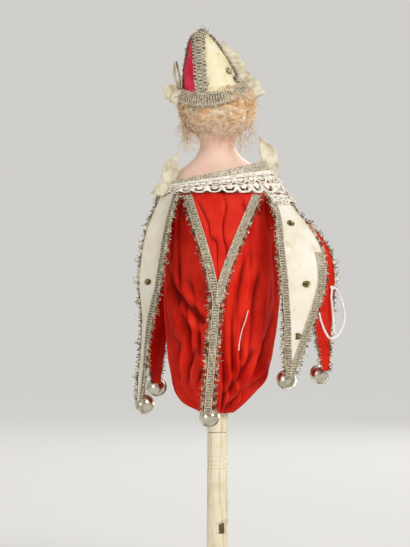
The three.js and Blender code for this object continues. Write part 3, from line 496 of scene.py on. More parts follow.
mohair, tree, bsdf = finish_of("blond_mohair", Roughness=0.6, Sheen_Weight=0.3, Sheen_Roughness=0.3)
colour, _ = patches(tree, 5, ["#eec28d", "#fadbb0", "#fff0d8"], (0.32, 0.62), detail=3)
# Painted light: the hair fades to a pale colour towards the nape, lifting the shade under its lower edge.
where = node(tree, "ShaderNodeTexCoord").outputs["Object"]
height = node(tree, "ShaderNodeSeparateXYZ", {0: where}).outputs["Z"]
nape_light_span = {"Value": height, "From Min": NAPE_LIGHT_TOP, "From Max": NAPE_LIGHT_FOOT}
nape = node(tree, "ShaderNodeMapRange", nape_light_span).outputs[0]
tree.links.new(between(tree, nape, colour, linear("#fbe6d2")), bsdf.inputs["Base Color"])

bell_plate = patchy(
    "dulled_silver_plate", ["#857c66", "#b9b3a0", "#cfcabb"], 4, (0.28, 0.55), 6, (0.06, 0.3),
    Metallic=1.0, Roughness=0.24,
)
white_cotton = patchy(
    "white_cotton_string", ["#e6e3dd", "#f5f4f1", "#fbfaf8"], 3, (0.3, 0.6), Roughness=0.9, Sheen_Weight=0.2
)
print("doll and handle finished")

# %% [markdown]
# ### The hidden works
# The drum and its movement only show when the bag is off, but they are finished too: brass that has
# dulled, blued steel, raw wood, and layered pasteboard.

# %% Finishes of the works
ALONG_Z, ALONG_Y, LAYERED, EVEN = (1, 1, 0.1), (1, 0.12, 1), (1, 1, 0.4), (1, 1, 1)
# colours, size of the patches in mm, their squeeze along each axis, depth of the relief in mm, how
# metallic and how rough
WORKS_LOOKS = {
    "brass": ("dull_brass", ["#7a5a24", "#b08a44", "#c7a35c"], 3, EVEN, 0.05, 1, 0.36),
    "steel": ("drawn_steel", ["#6e7277", "#93979c", "#a9adb1"], 2, ALONG_Z, 0.05, 1, 0.33),
    "limewood": ("raw_limewood", ["#a98556", "#c9a878", "#d7ba8e"], 2.5, ALONG_Y, 0.05, 0, 0.75),
    "pearwood": ("oiled_pearwood", ["#6f4520", "#976738", "#a97847"], 2, ALONG_Z, 0.05, 0, 0.6),
    "pasteboard": ("layered_pasteboard", ["#8a7350", "#a58d6b", "#b49d7c"], 4, LAYERED, 0.05, 0, 0.9),
    "cork": ("cork", ["#7c5630", "#a87c50", "#bb9063"], 1.6, EVEN, 0.2, 0, 0.9),
    "wadding": ("muslin_wadding", ["#c3b69c", "#d8cdb8", "#e2d9c8"], 3, EVEN, 0.3, 0, 0.95),
}
WORKS = {}
for slot, (name, colours, size_mm, squeeze, depth_mm, metallic, rough) in WORKS_LOOKS.items():
    WORKS[slot] = patchy(
        name, colours, size_mm, (0.3, 0.66), 5, (depth_mm, 0.4), squeeze, Metallic=metallic, Roughness=rough
    )
print("works finishes", len(WORKS))

# %% [markdown]
# ## Floor and light
# A pale round floor rises far out into a pale backdrop on all sides, so the picture behind the doll is
# plain from wherever it is looked at. The light is soft: a broad lamp high on the right of the picture,
# a weaker one on the left, one in front of the doll, and a little from all round. What the camera and
# mirrors see of the paper is partly its own glow, so it is pale without more light.

# %% Floor
PALE, PAPER_GLOW, GLOW_STRENGTH = "#f1efeb", 0.68, 0.9
FLOOR_FLAT, FLOOR_REACH, BACKDROP_RISE = 4.5, 8.5, 3.2


def floor_place(u, v):
    """A round floor that bends up into a backdrop far out."""
    reach, turn = FLOOR_REACH * v, 2 * math.pi * u
    rise = BACKDROP_RISE * ease(FLOOR_FLAT, FLOOR_REACH, reach)
    return Vector((reach * math.cos(turn), reach * math.sin(turn), rise))


def sum_or_product(tree, operation, first, second):
    """Adds or multiplies two values, and keeps the result between 0 and 1."""
    return node(tree, "ShaderNodeMath", {0: first, 1: second}, operation=operation, use_clamp=True).outputs[0]


def seen_directly(tree):
    """1 where the camera, a mirror or glass looks at the surface, and 0 where it only gives light."""
    rays = node(tree, "ShaderNodeLightPath").outputs
    total = rays["Is Camera Ray"]
    for kind in ("Is Glossy Ray", "Is Transmission Ray"):
        total = sum_or_product(tree, "ADD", total, rays[kind])
    return total


floor = smooth(close_up(cloth_grid("floor", 64, 60, floor_place)))
pale_paper, tree, bsdf = finish_of("pale_paper", Roughness=0.9)
bsdf.inputs["Base Color"].default_value = linear(PALE)
share = sum_or_product(tree, "MULTIPLY", seen_directly(tree), PAPER_GLOW)
glow = node(tree, "ShaderNodeEmission", {"Color": linear(PALE), "Strength": GLOW_STRENGTH})
mix = node(tree, "ShaderNodeMixShader", {"Fac": share})
tree.links.new(bsdf.outputs[0], mix.inputs[1])
tree.links.new(glow.outputs[0], mix.inputs[2])
tree.links.new(mix.outputs[0], tree.nodes["Material Output"].inputs["Surface"])
floor.data.materials.append(pale_paper)
print("floor faces", len(floor.data.polygons))

# %% Lamps and world
ROOM_LIGHT, ROOM_SEEN = 0.36, 0.8


def lamp(name, place, size, watts):
    """A square lamp that looks at the middle of the picture, its place and size in metres."""
    fresh()
    bpy.ops.object.light_add(type="AREA", location=place)
    made = bpy.context.object
    made.name = name
    made.data.size, made.data.energy = size, watts
    made.rotation_euler = (aim - Vector(place)).to_track_quat("-Z", "Y").to_euler()


lamp("key_lamp", (-0.75, 0.95, 0.95), 0.45, 12)
lamp("fill_lamp", (0.95, 0.9, 0.45), 0.9, 4)
lamp("front_lamp", (-0.5, -1.1, 0.8), 0.9, 9)
world = bpy.data.worlds.new("soft_room")
bpy.context.scene.world = world
world.use_nodes = True
room = world.node_tree
room.nodes["Background"].inputs["Color"].default_value = linear(PALE)
shown = {"Value": seen_directly(room), "To Min": ROOM_LIGHT, "To Max": ROOM_SEEN}
strength = node(room, "ShaderNodeMapRange", shown).outputs[0]
room.links.new(strength, room.nodes["Background"].inputs["Strength"])
bpy.context.scene.view_settings.view_transform = "Standard"
print("lamps", [light.name for light in bpy.data.lights])

# %% [markdown]
# ## The string
# A short white cotton string is sewn to the face of the right-hand red tab, swings out in a loop, is
# caught at the tab's edge and ends in a knot. It is two plies twisted together, so it is made as
# two helices about one smooth line.

# %% String
STRING_ROUTE_MM = [
    (-58.65, 2.47, 157.05), (-60.15, 2.27, 151.25), (-62.35, 2.39, 145.85), (-65.45, 2.59, 141.85),
    (-69.62, 1.19, 143.65), (-73.02, -0.81, 149.45), (-73.82, -3.81, 156.55), (-72.22, -6.81, 164.05),
    (-69.82, -9.01, 169.45), (-67.42, -7.41, 171.65), (-66.32, -5.91, 167.05), (-66.82, -4.41, 159.05),
    (-67.42, -3.21, 151.05), (-67.62, -2.41, 145.45),
]
STRING_DIAMETER = 1.2 * MM
PLY_TWIST, PLY_OFFSET, PLY_RADIUS = 2.6 * MM, 0.24 * STRING_DIAMETER, 0.34 * STRING_DIAMETER
KNOT_RADIUS, KNOT_TURN = 0.42 * STRING_DIAMETER, 0.9
STRING_STEPS, KNOT_STEPS, CORD_STEPS = 240, 36, 120

string_line = Path([Vector(p) * MM for p in STRING_ROUTE_MM])


def ply(start):
    """One ply's helix along the string, as points."""
    points = []
    side = Vector((0, 1, 0))
    for i in range(STRING_STEPS + 1):
        share = i / STRING_STEPS
        along = string_line.tangent(share)
        side = (side - along * side.dot(along)).normalized()
        turn = start + 2 * math.pi * share * string_line.length / PLY_TWIST
        off = side * math.cos(turn) + along.cross(side) * math.sin(turn)
        points.append(string_line.at(share) + off * PLY_OFFSET)
    return points


def string_knot(name, middle, size):
    """A small overhand knot: one trefoil turn of the same string."""
    line = []
    for i in range(KNOT_STEPS + 1):
        t = 2 * math.pi * i / KNOT_STEPS
        x, y = math.sin(t) + 2 * math.sin(2 * t), math.cos(t) - 2 * math.cos(2 * t)
        loop = Vector((x, y, -math.sin(3 * t)))
        line.append(middle + Matrix.Rotation(KNOT_TURN, 3, "X") @ loop * size)
    return threads(name, [line], KNOT_RADIUS, sides=8)


string = threads("white_string", [ply(0), ply(math.pi)], PLY_RADIUS, sides=8)
knots = [
    string_knot("string_end_knot", string_line.at(1) - Vector((0, 0, 0.9 * MM)), 0.42 * MM),
    string_knot("string_top_knot", string_line.at(0.68), 0.36 * MM),
]
dress(string, white_cotton, "tab_right", "cotton", ["string_loop"])
for knot in knots:
    dress(knot, white_cotton, "tab_right", "cotton")
string_line.at(0)
[string_line.at(i / CORD_STEPS) for i in range(CORD_STEPS + 1)]
print("string length", round(string_line.length, 4))

# %% [markdown]
# ## The silk bag
# The bag is one tube of silk, gathered round the handle below and under the collar above. Its cloth
# falls in long folds that deepen where it is gathered. A grid is wrapped into a tube, its radius follows
# the bag's outline, and narrow valleys are pressed into it along wandering lines.

# %% Bag outline
BAG_LOW, BAG_HIGH = (corner.z / MM for corner in map(Vector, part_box("silk_bag")))
BAG_OUTLINE = [
    (0, 9.0), (0.02, 12.4), (0.058, 17.4), (0.108, 22.9), (0.15, 26.2), (0.21, 29), (0.3, 30.7),
    (0.45, 31.6), (0.66, 30.8), (0.86, 28.4), (1, 24.2),
]
DEEPEST_FOLD = [(0, 0.8), (0.08, 6), (0.15, 5), (0.3, 6), (0.6, 6), (0.8, 4.6), (1, 3)]
BAG_RADIUS, BAG_CLOTH, BAG_PUFF = 31.5, 0.5, 1
SHOULDER_HALF_WIDTH = 31
BAG_SWAY, SHOULDER_SHIFT = 2.2, 2
BAG_LOBE, BAG_LOBE_TURN = 4.5, 0.3
BAG_COLUMNS, BAG_ROWS = 480, 98
# The silk is estimated as a tube of this radius and length before it was gathered.
print("bag from", round(BAG_LOW, 1), "to", round(BAG_HIGH, 1), "mm")

# %% Gathers
# The cloth is drawn into valleys at both ends of the bag, and each valley dies out part of the way
# along: its turn round the bag, how far it reaches and its depth, in order round the bag
gather_chance = random.Random(796)


def valleys(count, reaches, depths):
    """Rows of valleys, evenly spread but for a seeded chance."""
    rows = []
    for i in range(count):
        turn = 2 * math.pi * (i + gather_chance.uniform(-0.33, 0.33)) / count
        rows.append((turn, gather_chance.choice(reaches), gather_chance.uniform(*depths)))
    return rows


CREASE, CREASE_SHARE = 0.04, 0.6
LOW_VALLEYS = valleys(23, (0.4, 0.55, 0.7, 0.95), (5, 11))
HIGH_VALLEYS = valleys(26, (0.15, 0.25, 0.35, 0.5), (2.4, 5))


def gathers(rows, turn, distance):
    """The dip between round ridges at a turn and a distance from the gathered end."""
    turn = turn % (2 * math.pi)
    ends = [(rows[-1][0] - 2 * math.pi, *rows[-1][1:]), *rows, (rows[0][0] + 2 * math.pi, *rows[0][1:])]
    for left, right in zip(ends, ends[1:]):
        if left[0] <= turn <= right[0]:
            share = (turn - left[0]) / (right[0] - left[0])
            deep_left, deep_right = (row[2] * ease(row[1], 0.02, distance) for row in (left, right))
            ridges = lerp(deep_left, deep_right, share) * (1 - math.sin(math.pi * share))
            creases = deep_left * math.exp((left[0] - turn) / CREASE)
            creases += deep_right * math.exp((turn - right[0]) / CREASE)
            return ridges + CREASE_SHARE * creases
    return 0


print("valleys below and above", len(LOW_VALLEYS), len(HIGH_VALLEYS))

# %% Drapes
# A few longer drapes sweep over the back, where the cloth is pulled towards the gathers: depth and
# width in mm, then the turn round the bag in degrees and the share of its height along the drape.
# Beside a drape the cloth rolls up: share of its depth, place and width of the roll in drape widths
DRAPE_REACH, ROLL_SHARE, ROLL_PLACE, ROLL_WIDTH = 6, 0.3, 2.6, 1.3
DRAPES = [
    (7, 2.0, [(64, 0.342), (46, 0.158), (34, 0.05)]), (6, 1.8, [(82, 0.255), (57, 0.144), (44, 0.04)]),
    (7, 2.0, [(176, 0.24), (134, 0.102), (112, 0.015)]), (7, 1.8, [(148, 0.342), (139, 0.213), (115, 0.038)]),
    (6, 2.4, [(18, 0.693), (36, 0.518), (55, 0.342)]), (5, 2.2, [(115, 0.749), (107, 0.518), (106, 0.278)]),
    (5, 2.0, [(133, 0.693), (126, 0.472), (124, 0.241)]), (5, 1.6, [(72, 0.379), (77, 0.218), (70, 0.079)]),
    (7, 2.0, [(30, 0.58), (54, 0.481), (75, 0.41)]), (6, 1.8, [(129, 0.31), (119, 0.185), (97, 0.075)]),
]


def on_cloth(turn, share):
    """A place on the bag's cloth laid flat, in mm."""
    return Vector((turn * BAG_RADIUS, share * (BAG_HIGH - BAG_LOW), 0))


drape_lines = []
for depth, wide, points in DRAPES:
    line = Path([on_cloth(math.radians(turn), share) for turn, share in points], steps=6).samples
    low = [min(p[k] for p in line) - DRAPE_REACH * wide for k in (0, 1)]
    high = [max(p[k] for p in line) + DRAPE_REACH * wide for k in (0, 1)]
    drape_lines.append((depth, wide, line, low, high))


def drapes(turn, share):
    """How deep the drapes press the cloth in at a point, and how far it rolls up beside them."""
    spot, valley, roll = on_cloth(turn, share), 0.0, 0.0
    for depth, wide, line, low, high in drape_lines:
        if low[0] < spot.x < high[0] and low[1] < spot.y < high[1]:
            far, along = 1e9, 0.0
            for i, (a, b) in enumerate(zip(line, line[1:])):
                t = min(max((spot - a).dot(b - a) / (b - a).length_squared, 0), 1)
                reach = (a.lerp(b, t) - spot).length
                if reach < far:
                    far, along = reach, (i + t) / (len(line) - 1)
            depth *= ease(0, 0.3, along) * ease(1, 0.85, along)
            valley += depth * math.exp(-far / wide)
            roll += ROLL_SHARE * depth * math.exp(-((far / wide - ROLL_PLACE) / ROLL_WIDTH) ** 2)
    return valley, roll


print("drapes", len(drape_lines))


# %% Folds of the bag
def bag_fold(turn, share):
    """How far the cloth dips, in mm, at a turn round the bag and a share of its height."""
    round_it = Vector((1.7 * math.cos(turn), 1.7 * math.sin(turn), 2.6 * share))
    billow = 1.1 * noise_field.noise(round_it) + 0.55 * noise_field.noise(round_it * 2.7)
    crease = 0.35 * (1 - abs(noise_field.noise(round_it * 3.1 + Vector((4, 1, 7))))) ** 6
    wander = 0.22 * noise_field.noise(round_it * 0.8 + Vector((0, 3, 5)))
    wander += 0.07 * math.sin(7 * share + 3 * turn)
    dip = gathers(LOW_VALLEYS, turn + wander, share)
    dip += gathers(HIGH_VALLEYS, turn + 1.4 * wander, 1 - share)
    valley, roll = drapes(turn, share)
    most = through(DEEPEST_FOLD, share)
    pressed = most * (1 - math.exp(-(dip + valley) / most)) - roll
    return pressed + (billow + crease) * ease(-0.02, 0.07, share)


def bag_place(u, v, lift=0.0):
    """The bag's point at a share round it and a share of its height, lifted off its cloth by lift mm."""
    turn = 2 * math.pi * u
    sag = BAG_LOBE * ease(0, 0.045, v) * ease(0.2, 0.05, v) * max(math.cos(turn - BAG_LOBE_TURN), 0) ** 4
    radius = through(BAG_OUTLINE, v) + lift + BAG_PUFF + sag - bag_fold(turn, v)
    spread = lerp(1, SHOULDER_HALF_WIDTH / BAG_OUTLINE[-1][1] * 0.97, v**3)
    sway = -BAG_SWAY * math.sin(math.pi * v) - SHOULDER_SHIFT * v**3
    height = lerp(BAG_LOW, BAG_HIGH, v)
    return Vector((spread * radius * math.cos(turn) + sway, radius * math.sin(turn), height)) * MM


# %% Cut of a cloth and the hollows marked for painted crease shade
def flat_size(width, length, piece):
    """The cut of a cloth piece: its widest width and its length, with the area of its own faces."""
    area = sum(face.area for face in piece.data.polygons)
    return {"flat": (max(width, area / length), length), "area": area}


def mark_crease_shade(piece, columns, reach, deep):
    """Notes on each point of a grid how hollow the cloth is, for the silk's painted crease shade to read.

    reach is how many points to each side are looked at, and deep the hollow in mm that counts in full.
    """
    spots, normals = np.empty((2, len(piece.data.vertices) * 3))
    piece.data.vertices.foreach_get("co", spots)
    piece.data.vertex_normals.foreach_get("vector", normals)
    spots, normals = (values.reshape(-1, columns + 1, 3) for values in (spots, normals))
    padded = np.pad(spots, ((reach, reach), (reach, reach), (0, 0)), mode="edge")
    across = padded[reach:-reach, 2 * reach:] + padded[reach:-reach, :-2 * reach] - 2 * spots
    along = padded[2 * reach:, reach:-reach] + padded[:-2 * reach, reach:-reach] - 2 * spots
    out = np.sign((normals * spots * (1, 1, 0)).sum())
    hollow = ((across + along) * normals).sum(axis=2) * out / 2
    marks = piece.data.attributes.new("crease", "FLOAT", "POINT")
    marks.data.foreach_set("value", np.clip(hollow / (deep * MM), 0, 1).ravel().astype(np.float32))
    return piece


# %% Bag
bag = cloth_grid("red_silk_bag", BAG_COLUMNS, BAG_ROWS, bag_place)
# The bag's hollows are marked for the painted shade in its creases.
mark_crease_shade(bag, BAG_COLUMNS, reach=6, deep=2.2)
close_up(bag)
smooth(finish_with(bag, "SOLIDIFY", thickness=BAG_CLOTH * MM, offset=-1))
dress(bag, bag_silk, "doll", "red_silk", ["silk_bag"])

# %% Pulled thread
# One pale thread of the silk has been pulled out of the weave and lies along the cloth.
PULLED_FROM, PULLED_TO, PULLED_LIFT, PULLED_RADIUS = Vector((0.326, 0.47)), Vector((0.302, 0.29)), 0.35, 0.28
pulled_spots = [PULLED_FROM.lerp(PULLED_TO, i / 20) for i in range(21)]
pulled = [bag_place(*spot, PULLED_LIFT) for spot in pulled_spots]
pulled_thread = threads("pulled_thread", [pulled], PULLED_RADIUS * MM, sides=6)
dress(pulled_thread, white_cotton, "doll", "cotton")
print("pulled thread faces", len(pulled_thread.data.polygons))

# %% [markdown]
# ## The tabs
# Eight pointed tabs hang from the collar, red and cream by turns. They are stiffened silk, so each one
# keeps a cupped leaf shape. The model's joints give the point where a tab is sewn on and the point where
# its bell hangs, and the cloth follows a line between them.

# %% Tab shapes
COLLAR_Z = 226
TAB_CLOTH, TAB_CUP, TIP_HALF = 0.7, 1.6, 2.6
BELL_INSIDE = 1.3
# name, colour, turn at the middle, stand-off from the bag there, facing, half-widths at root, middle
# and low down, and how far the root wraps round the bag
TABS = [
    ("back", "red", -1, 3.4, 0, (22.05, 3.9, 2.7), 6),
    ("back_right", "cream", 56, 26, 32, (9, 15, 8.5), 0),
    ("right", "red", 92, 26.46, 46, (8, 13, 7), 0),
    ("front_right", "cream", 150, 15, 150, (9, 12, 7), 0),
    ("front", "red", 180, 8, 180, (9, 12, 7), 0),
    ("front_left", "cream", -150, 15, -150, (9, 12, 7), 0),
    ("left", "red", -112, 7.31, -135, (6, 10, 8), 0),
    ("back_left", "cream", -53, 16, -50, (9, 10, 3.1), 0),
]
HALF_SHARES = (0, 0.45, 0.8, 1)
# Below its middle one tab is rolled in to a narrow strip: share of its length and half-width there
ROLLED_IN = {"back_left": (0.6, 6.2)}
MIDDLE_SHARE, SHOULDER_SHARE, SHOULDER_STAND = 0.46, 0.4, 0.14
WRAP_SHARE = 0.3
joint_of = {joint["name"]: joint for joint in frame["record"]["behaviour"]["joints"]}


# %% A tab's cloth
class Tab:
    """A tab's middle line, and the place of any point of its cloth."""

    def __init__(self, name, colour, middle_azimuth, stand, facing, halves, wrap):
        self.name, self.colour, self.wrap = name, colour, wrap
        root_joint, bell_joint = joint_of[f"tab_{name}_swing"], joint_of[f"bell_{name}_swing"]
        azimuth = lambda axis: math.degrees(math.atan2(axis[1], axis[0]))
        self.root_azimuth, self.tip_azimuth = azimuth(root_joint["axis"]), azimuth(bell_joint["axis"])
        root = Vector(root_joint["pos_m"])
        self.pivot = Vector(bell_joint["pos_m"])
        tip = self.pivot + outward(self.tip_azimuth) * BELL_INSIDE * MM
        drop = COLLAR_Z * MM - tip.z
        middle = outward(middle_azimuth) * (BAG_RADIUS + stand) * MM
        middle.z = COLLAR_Z * MM - drop * MIDDLE_SHARE
        shoulder = root.lerp(middle, SHOULDER_SHARE)
        shoulder += outward(self.root_azimuth) * stand * SHOULDER_STAND * MM
        self.line = Path([root, shoulder, middle, tip])
        self.halves = list(zip(HALF_SHARES, (*halves, TIP_HALF)))
        if name in ROLLED_IN:
            self.halves.insert(2, ROLLED_IN[name])
        self.turned = (facing - self.root_azimuth + 180) % 360 - 180
        self.seed = sum(map(ord, name))

    def half(self, v):
        """Half the tab's width in mm."""
        return through(self.halves, v)

    def axes(self, v):
        """The ways along the tab, across it and out of its face."""
        along = self.line.tangent(v)
        across = sideways(self.root_azimuth + self.turned * ease(0, 0.4, v))
        return along, across, across.cross(along).normalized()

    def at(self, u, v, lift=0.0):
        """The point at u from -1 to 1 across and v from root to tip, lift mm off the cloth's middle."""
        _, across, face = self.axes(v)
        wrap = self.wrap * ease(WRAP_SHARE, 0, v)
        cup = (TAB_CUP * math.sin(math.pi * min(1.6 * v, 1)) - wrap) * u * u
        ripple = 0.55 * u * math.sin(9 * v + self.seed) + 0.45 * math.sin(6 * v + 2.5 * u + self.seed)
        ripple *= ease(0, 0.2, v) * ease(1, 0.86, v)
        if self.wrap:
            loose = ease(0, 0.05, v) * ease(0.46, 0.3, v) * (1 - u**4)
            slant = 5 * u + 8 * v + 2.2 * noise_field.noise((2 * u, 7 * v, 3))
            ripple += 2.4 * loose * (1 - math.exp(-2.6 * abs(math.sin(slant))))
        return self.line.at(v) + across * u * self.half(v) * MM + face * (cup + ripple + lift) * MM


# %% Tabs
tabs = [Tab(*row) for row in TABS]
for tab in tabs:
    across, along = (56, 110) if tab.wrap else (20, 60)
    sheet = cloth_grid(f"{tab.colour}_tab_{tab.name}", across, along, lambda u, v, t=tab: t.at(2 * u - 1, v))
    # The hollows are marked for painted shade; the red silk darkens them and the cream silk does not.
    mark_crease_shade(sheet, across, reach=3, deep=1.7)
    cut = flat_size(2 * max(half for _, half in tab.halves) * MM, tab.line.length, sheet)
    smooth(finish_with(sheet, "SOLIDIFY", thickness=TAB_CLOTH * MM, offset=0))
    cloth = tab_red_silk if tab.colour == "red" else tab_cream_silk
    dress(sheet, cloth, f"tab_{tab.name}", f"{tab.colour}_silk", [f"tab_{tab.name}"])
print("tabs", len(tabs))

# %% [markdown]
# ## Braid and tinsel
# Most tabs are edged with a flat braid of metal thread: pale cross ribs on a dark ground. From the edge
# stands a fringe of curled tinsel wire. The ribs are real threads on a strip, and the fringe is one long
# looped wire with many short broken ends, sized by a seeded chance.

# %% Braid
BRAID_WIDTH, BRAID_THICK, RIB_PITCH, RIB_HEIGHT, RIB_SLANT = 4.6, 0.3, 1.5, 0.36, 0.3
EDGE_THREAD, EDGE_INSET, EDGE_LIFT = 0.31, 0.1, 0.2
FRINGE_WIRE, LOOP_STEPS, BRISTLE_STEPS = 0.19, 9, 6


def braid_strip(name, place, length_mm):
    """A ribbed strip. place(d, v, lift) gives the point d mm across it, at share v of its length."""
    ribs = max(4, round(length_mm / RIB_PITCH))
    strip = cloth_grid(name, 6, 2 * ribs, lambda u, v: place(BRAID_WIDTH * u, v, 0))
    smooth(finish_with(strip, "SOLIDIFY", thickness=BRAID_THICK * MM, offset=-1))
    lines = []
    for d in (EDGE_INSET, BRAID_WIDTH - EDGE_INSET):
        lines.append([place(d, i / (2 * ribs), EDGE_LIFT) for i in range(2 * ribs + 1)])
    for i in range(ribs):
        rib = []
        for u in (0.04, 0.25, 0.5, 0.75, 0.96):
            slant = RIB_SLANT * abs(2 * u - 1)
            lift = RIB_HEIGHT * (1 - (2 * u - 1) ** 4)
            rib.append(place(BRAID_WIDTH * u, (i + 0.35 + slant) / ribs, lift))
        lines.append(rib)
    return strip, threads(f"{name}_edges", lines, EDGE_THREAD * MM, sides=6)


# %% Tinsel wire
def tinsel(name, edge, length_mm, seed, reach=(0.5, 2.0), pitch=2.6):
    """One curled wire along an edge. edge(v) gives a point and the ways out, along and up from it."""
    chance = random.Random(seed)
    loops = max(4, round(length_mm / pitch))
    line = []
    for i in range(loops):
        size = chance.uniform(*reach) * (1.45 if chance.random() < 0.16 else 1)
        lean, tilt = chance.uniform(-0.9, 0.9), chance.uniform(-0.8, 0.8)
        for step in range(LOOP_STEPS):
            turn = 2 * math.pi * step / LOOP_STEPS
            v = (i + step / LOOP_STEPS + chance.uniform(-0.02, 0.02)) / loops
            point, out, along, up = edge(min(v, 1))
            push = size * (1 - math.cos(turn)) * 0.62
            side = size * math.sin(turn) * 0.62 + lean * push * 0.5
            line.append(point + (out * push + along * side + up * (tilt * push * 0.6 + 0.3)) * MM)
    return threads(name, [line], FRINGE_WIRE * MM, sides=4)


def bristles(name, edge, length_mm, seed, reach=(0.6, 2.8), pitch=0.33):
    """Short bent ends of wire that stand out from an edge."""
    chance = random.Random(seed)
    count = max(6, round(length_mm / pitch))
    lines = []
    for i in range(count):
        point, out, along, up = edge(min((i + chance.random()) / count, 1))
        size = chance.uniform(*reach) * (1.5 if chance.random() < 0.1 else 1)
        way = (out + along * chance.gauss(0, 0.6) + up * chance.gauss(0.15, 0.5)).normalized()
        side, bend = way.cross(along + up * 0.3).normalized(), chance.uniform(-4.2, 4.2)
        spot, line = point.copy(), [point]
        for step in range(BRISTLE_STEPS):
            angle = bend * (step / BRISTLE_STEPS) ** 1.4
            spot = spot + (way * math.cos(angle) + side * math.sin(angle)) * size * 1.25 / BRISTLE_STEPS * MM
            line.append(spot)
        lines.append(line)
    return threads(name, lines, FRINGE_WIRE * MM, sides=3)


def tab_edge(tab, side):
    """The edge of a tab that its fringe grows from."""
    def edge(v):
        along, across, face = tab.axes(v)
        return tab.at(side, v, 0.3), across * side, along, face
    return edge


# %% Braid and fringe on the tabs
# The braid has come away from the top of an edge of one cream tab, from a whole edge of another and from
# a red one. On the back tab both braids meet low down, where one ends and the other runs on alone.
BRAID_SPAN = {("back_right", -1): (0.36, 1), ("back", -1): (0, 0.5)}
BARE_EDGES = [("back_left", 1), ("right", -1), ("right", 1)]
LONE_BRAID, LONE_WIDTH = ("back", 1), 3.9
BRAID_STAND = TAB_CLOTH / 2 + 0.32


def tab_braid(tab, side):
    """The place of the braid on one edge of a tab, for braid_strip."""
    def place(d, v, lift):
        v = lerp(*BRAID_SPAN.get((tab.name, side), (0, 1)), v)
        alone = ease(0.4, 0.52, v) if (tab.name, side) == LONE_BRAID else 0
        wide = min(lerp(BRAID_WIDTH, LONE_WIDTH, alone), lerp(0.98, 1.96, alone) * tab.half(v))
        inset = alone * (tab.half(v) - wide / 2) + d * wide / BRAID_WIDTH
        return tab.at(side * (1 - inset / tab.half(v)), v, BRAID_STAND + lift)
    return place


for number, tab in enumerate(tabs):
    ribs, pale, wires = [], [], []
    for side in (-1, 1):
        length = tab.line.length / MM
        if (tab.name, side) not in BARE_EDGES:
            strip, edges = braid_strip(f"braid_{tab.name}_{side}", tab_braid(tab, side), length)
            ribs.append(strip)
            pale.append(edges)
        edge, seed = tab_edge(tab, side), 40 * number + side
        wires.append(tinsel(f"wire_{tab.name}_{side}", edge, length, seed))
        wires.append(bristles(f"bristles_{tab.name}_{side}", edge, length, seed + 20))
    body = f"tab_{tab.name}"
    if ribs:
        dress(join_up(ribs, f"braid_{tab.name}"), braid_metal, body, "tinsel_braid")
        dress(join_up(pale, f"braid_edges_{tab.name}"), edge_thread, body, "tinsel_braid")
    dress(join_up(wires, f"tinsel_{tab.name}"), tinsel_wire, body, "tinsel_braid")
print("fringed tabs", len(tabs))

# %% [markdown]
# ## Bells
# Each bell is two thin cups crimped together at a bright rim, with a slot that ends in two round holes
# in the lower cup and a wire loop on the upper one. One bell is modelled from a sphere, given its wall,
# slot and holes, and then copied to each joint that the model gives.

# %% One bell
BELL_RADIUS, BELL_WALL, BELL_LOOP = 5.3, 0.5, 1.5
RIM_OUT, RIM_RADIUS, RIM_FLATTENING = 0.2, 0.48, 0.9
LOOP_RADIUS, LOOP_WIRE, LOOP_DROP = 0.8, 0.3, 0.9
BELL_SLOT, BELL_REST_TILT = 1.7, 20
HOLE_RADIUS, HOLE_DEPTH, HOLE_OUT, HOLE_DROP = 1.25, 4, 4.6, 2
BELL_CENTRE = -(BELL_LOOP + BELL_RADIUS)


def placed(piece):
    """Puts a primitive's place, turn and size into its mesh."""
    only(piece)
    bpy.ops.object.transform_apply(location=True, rotation=True, scale=True)
    return piece


def cut_with(piece, tool):
    """Cuts a tool's shape out of a piece and throws the tool away."""
    finish_with(piece, "BOOLEAN", operation="DIFFERENCE", object=tool, solver="EXACT")
    bpy.data.objects.remove(tool, do_unlink=True)
    return piece


def bell_shape():
    """One bell that hangs from the origin, its axis down."""
    centre = (0, 0, BELL_CENTRE * MM)
    fresh()
    bpy.ops.mesh.primitive_uv_sphere_add(segments=40, ring_count=24, radius=BELL_RADIUS * MM, location=centre)
    cup = placed(bpy.context.object)
    finish_with(cup, "SOLIDIFY", thickness=BELL_WALL * MM, offset=-1)
    fresh()
    bpy.ops.mesh.primitive_cube_add(size=1, location=(0, 0, (BELL_CENTRE - BELL_RADIUS * 0.85) * MM))
    slot = bpy.context.object
    slot.scale = Vector((3 * BELL_RADIUS, BELL_SLOT, BELL_RADIUS)) * MM
    cut_with(cup, placed(slot))
    for side in (-1, 1):
        fresh()
        bpy.ops.mesh.primitive_cylinder_add(
            vertices=20, radius=HOLE_RADIUS * MM, depth=HOLE_DEPTH * MM, rotation=(0, math.pi / 2, 0),
            location=(side * HOLE_OUT * MM, 0, (BELL_CENTRE - HOLE_DROP) * MM),
        )
        cut_with(cup, placed(bpy.context.object))
    fresh()
    bpy.ops.mesh.primitive_torus_add(
        major_radius=(BELL_RADIUS + RIM_OUT) * MM, minor_radius=RIM_RADIUS * MM, major_segments=48,
        minor_segments=10, location=centre,
    )
    rim = bpy.context.object
    rim.scale.z = RIM_FLATTENING
    fresh()
    bpy.ops.mesh.primitive_torus_add(
        major_radius=LOOP_RADIUS * MM, minor_radius=LOOP_WIRE * MM, major_segments=20, minor_segments=8,
        rotation=(math.pi / 2, 0, 0), location=(0, 0, -LOOP_DROP * MM),
    )
    loop = bpy.context.object
    bell = join_up([cup, placed(rim), placed(loop)], "bell")
    return smooth(bell, 40)


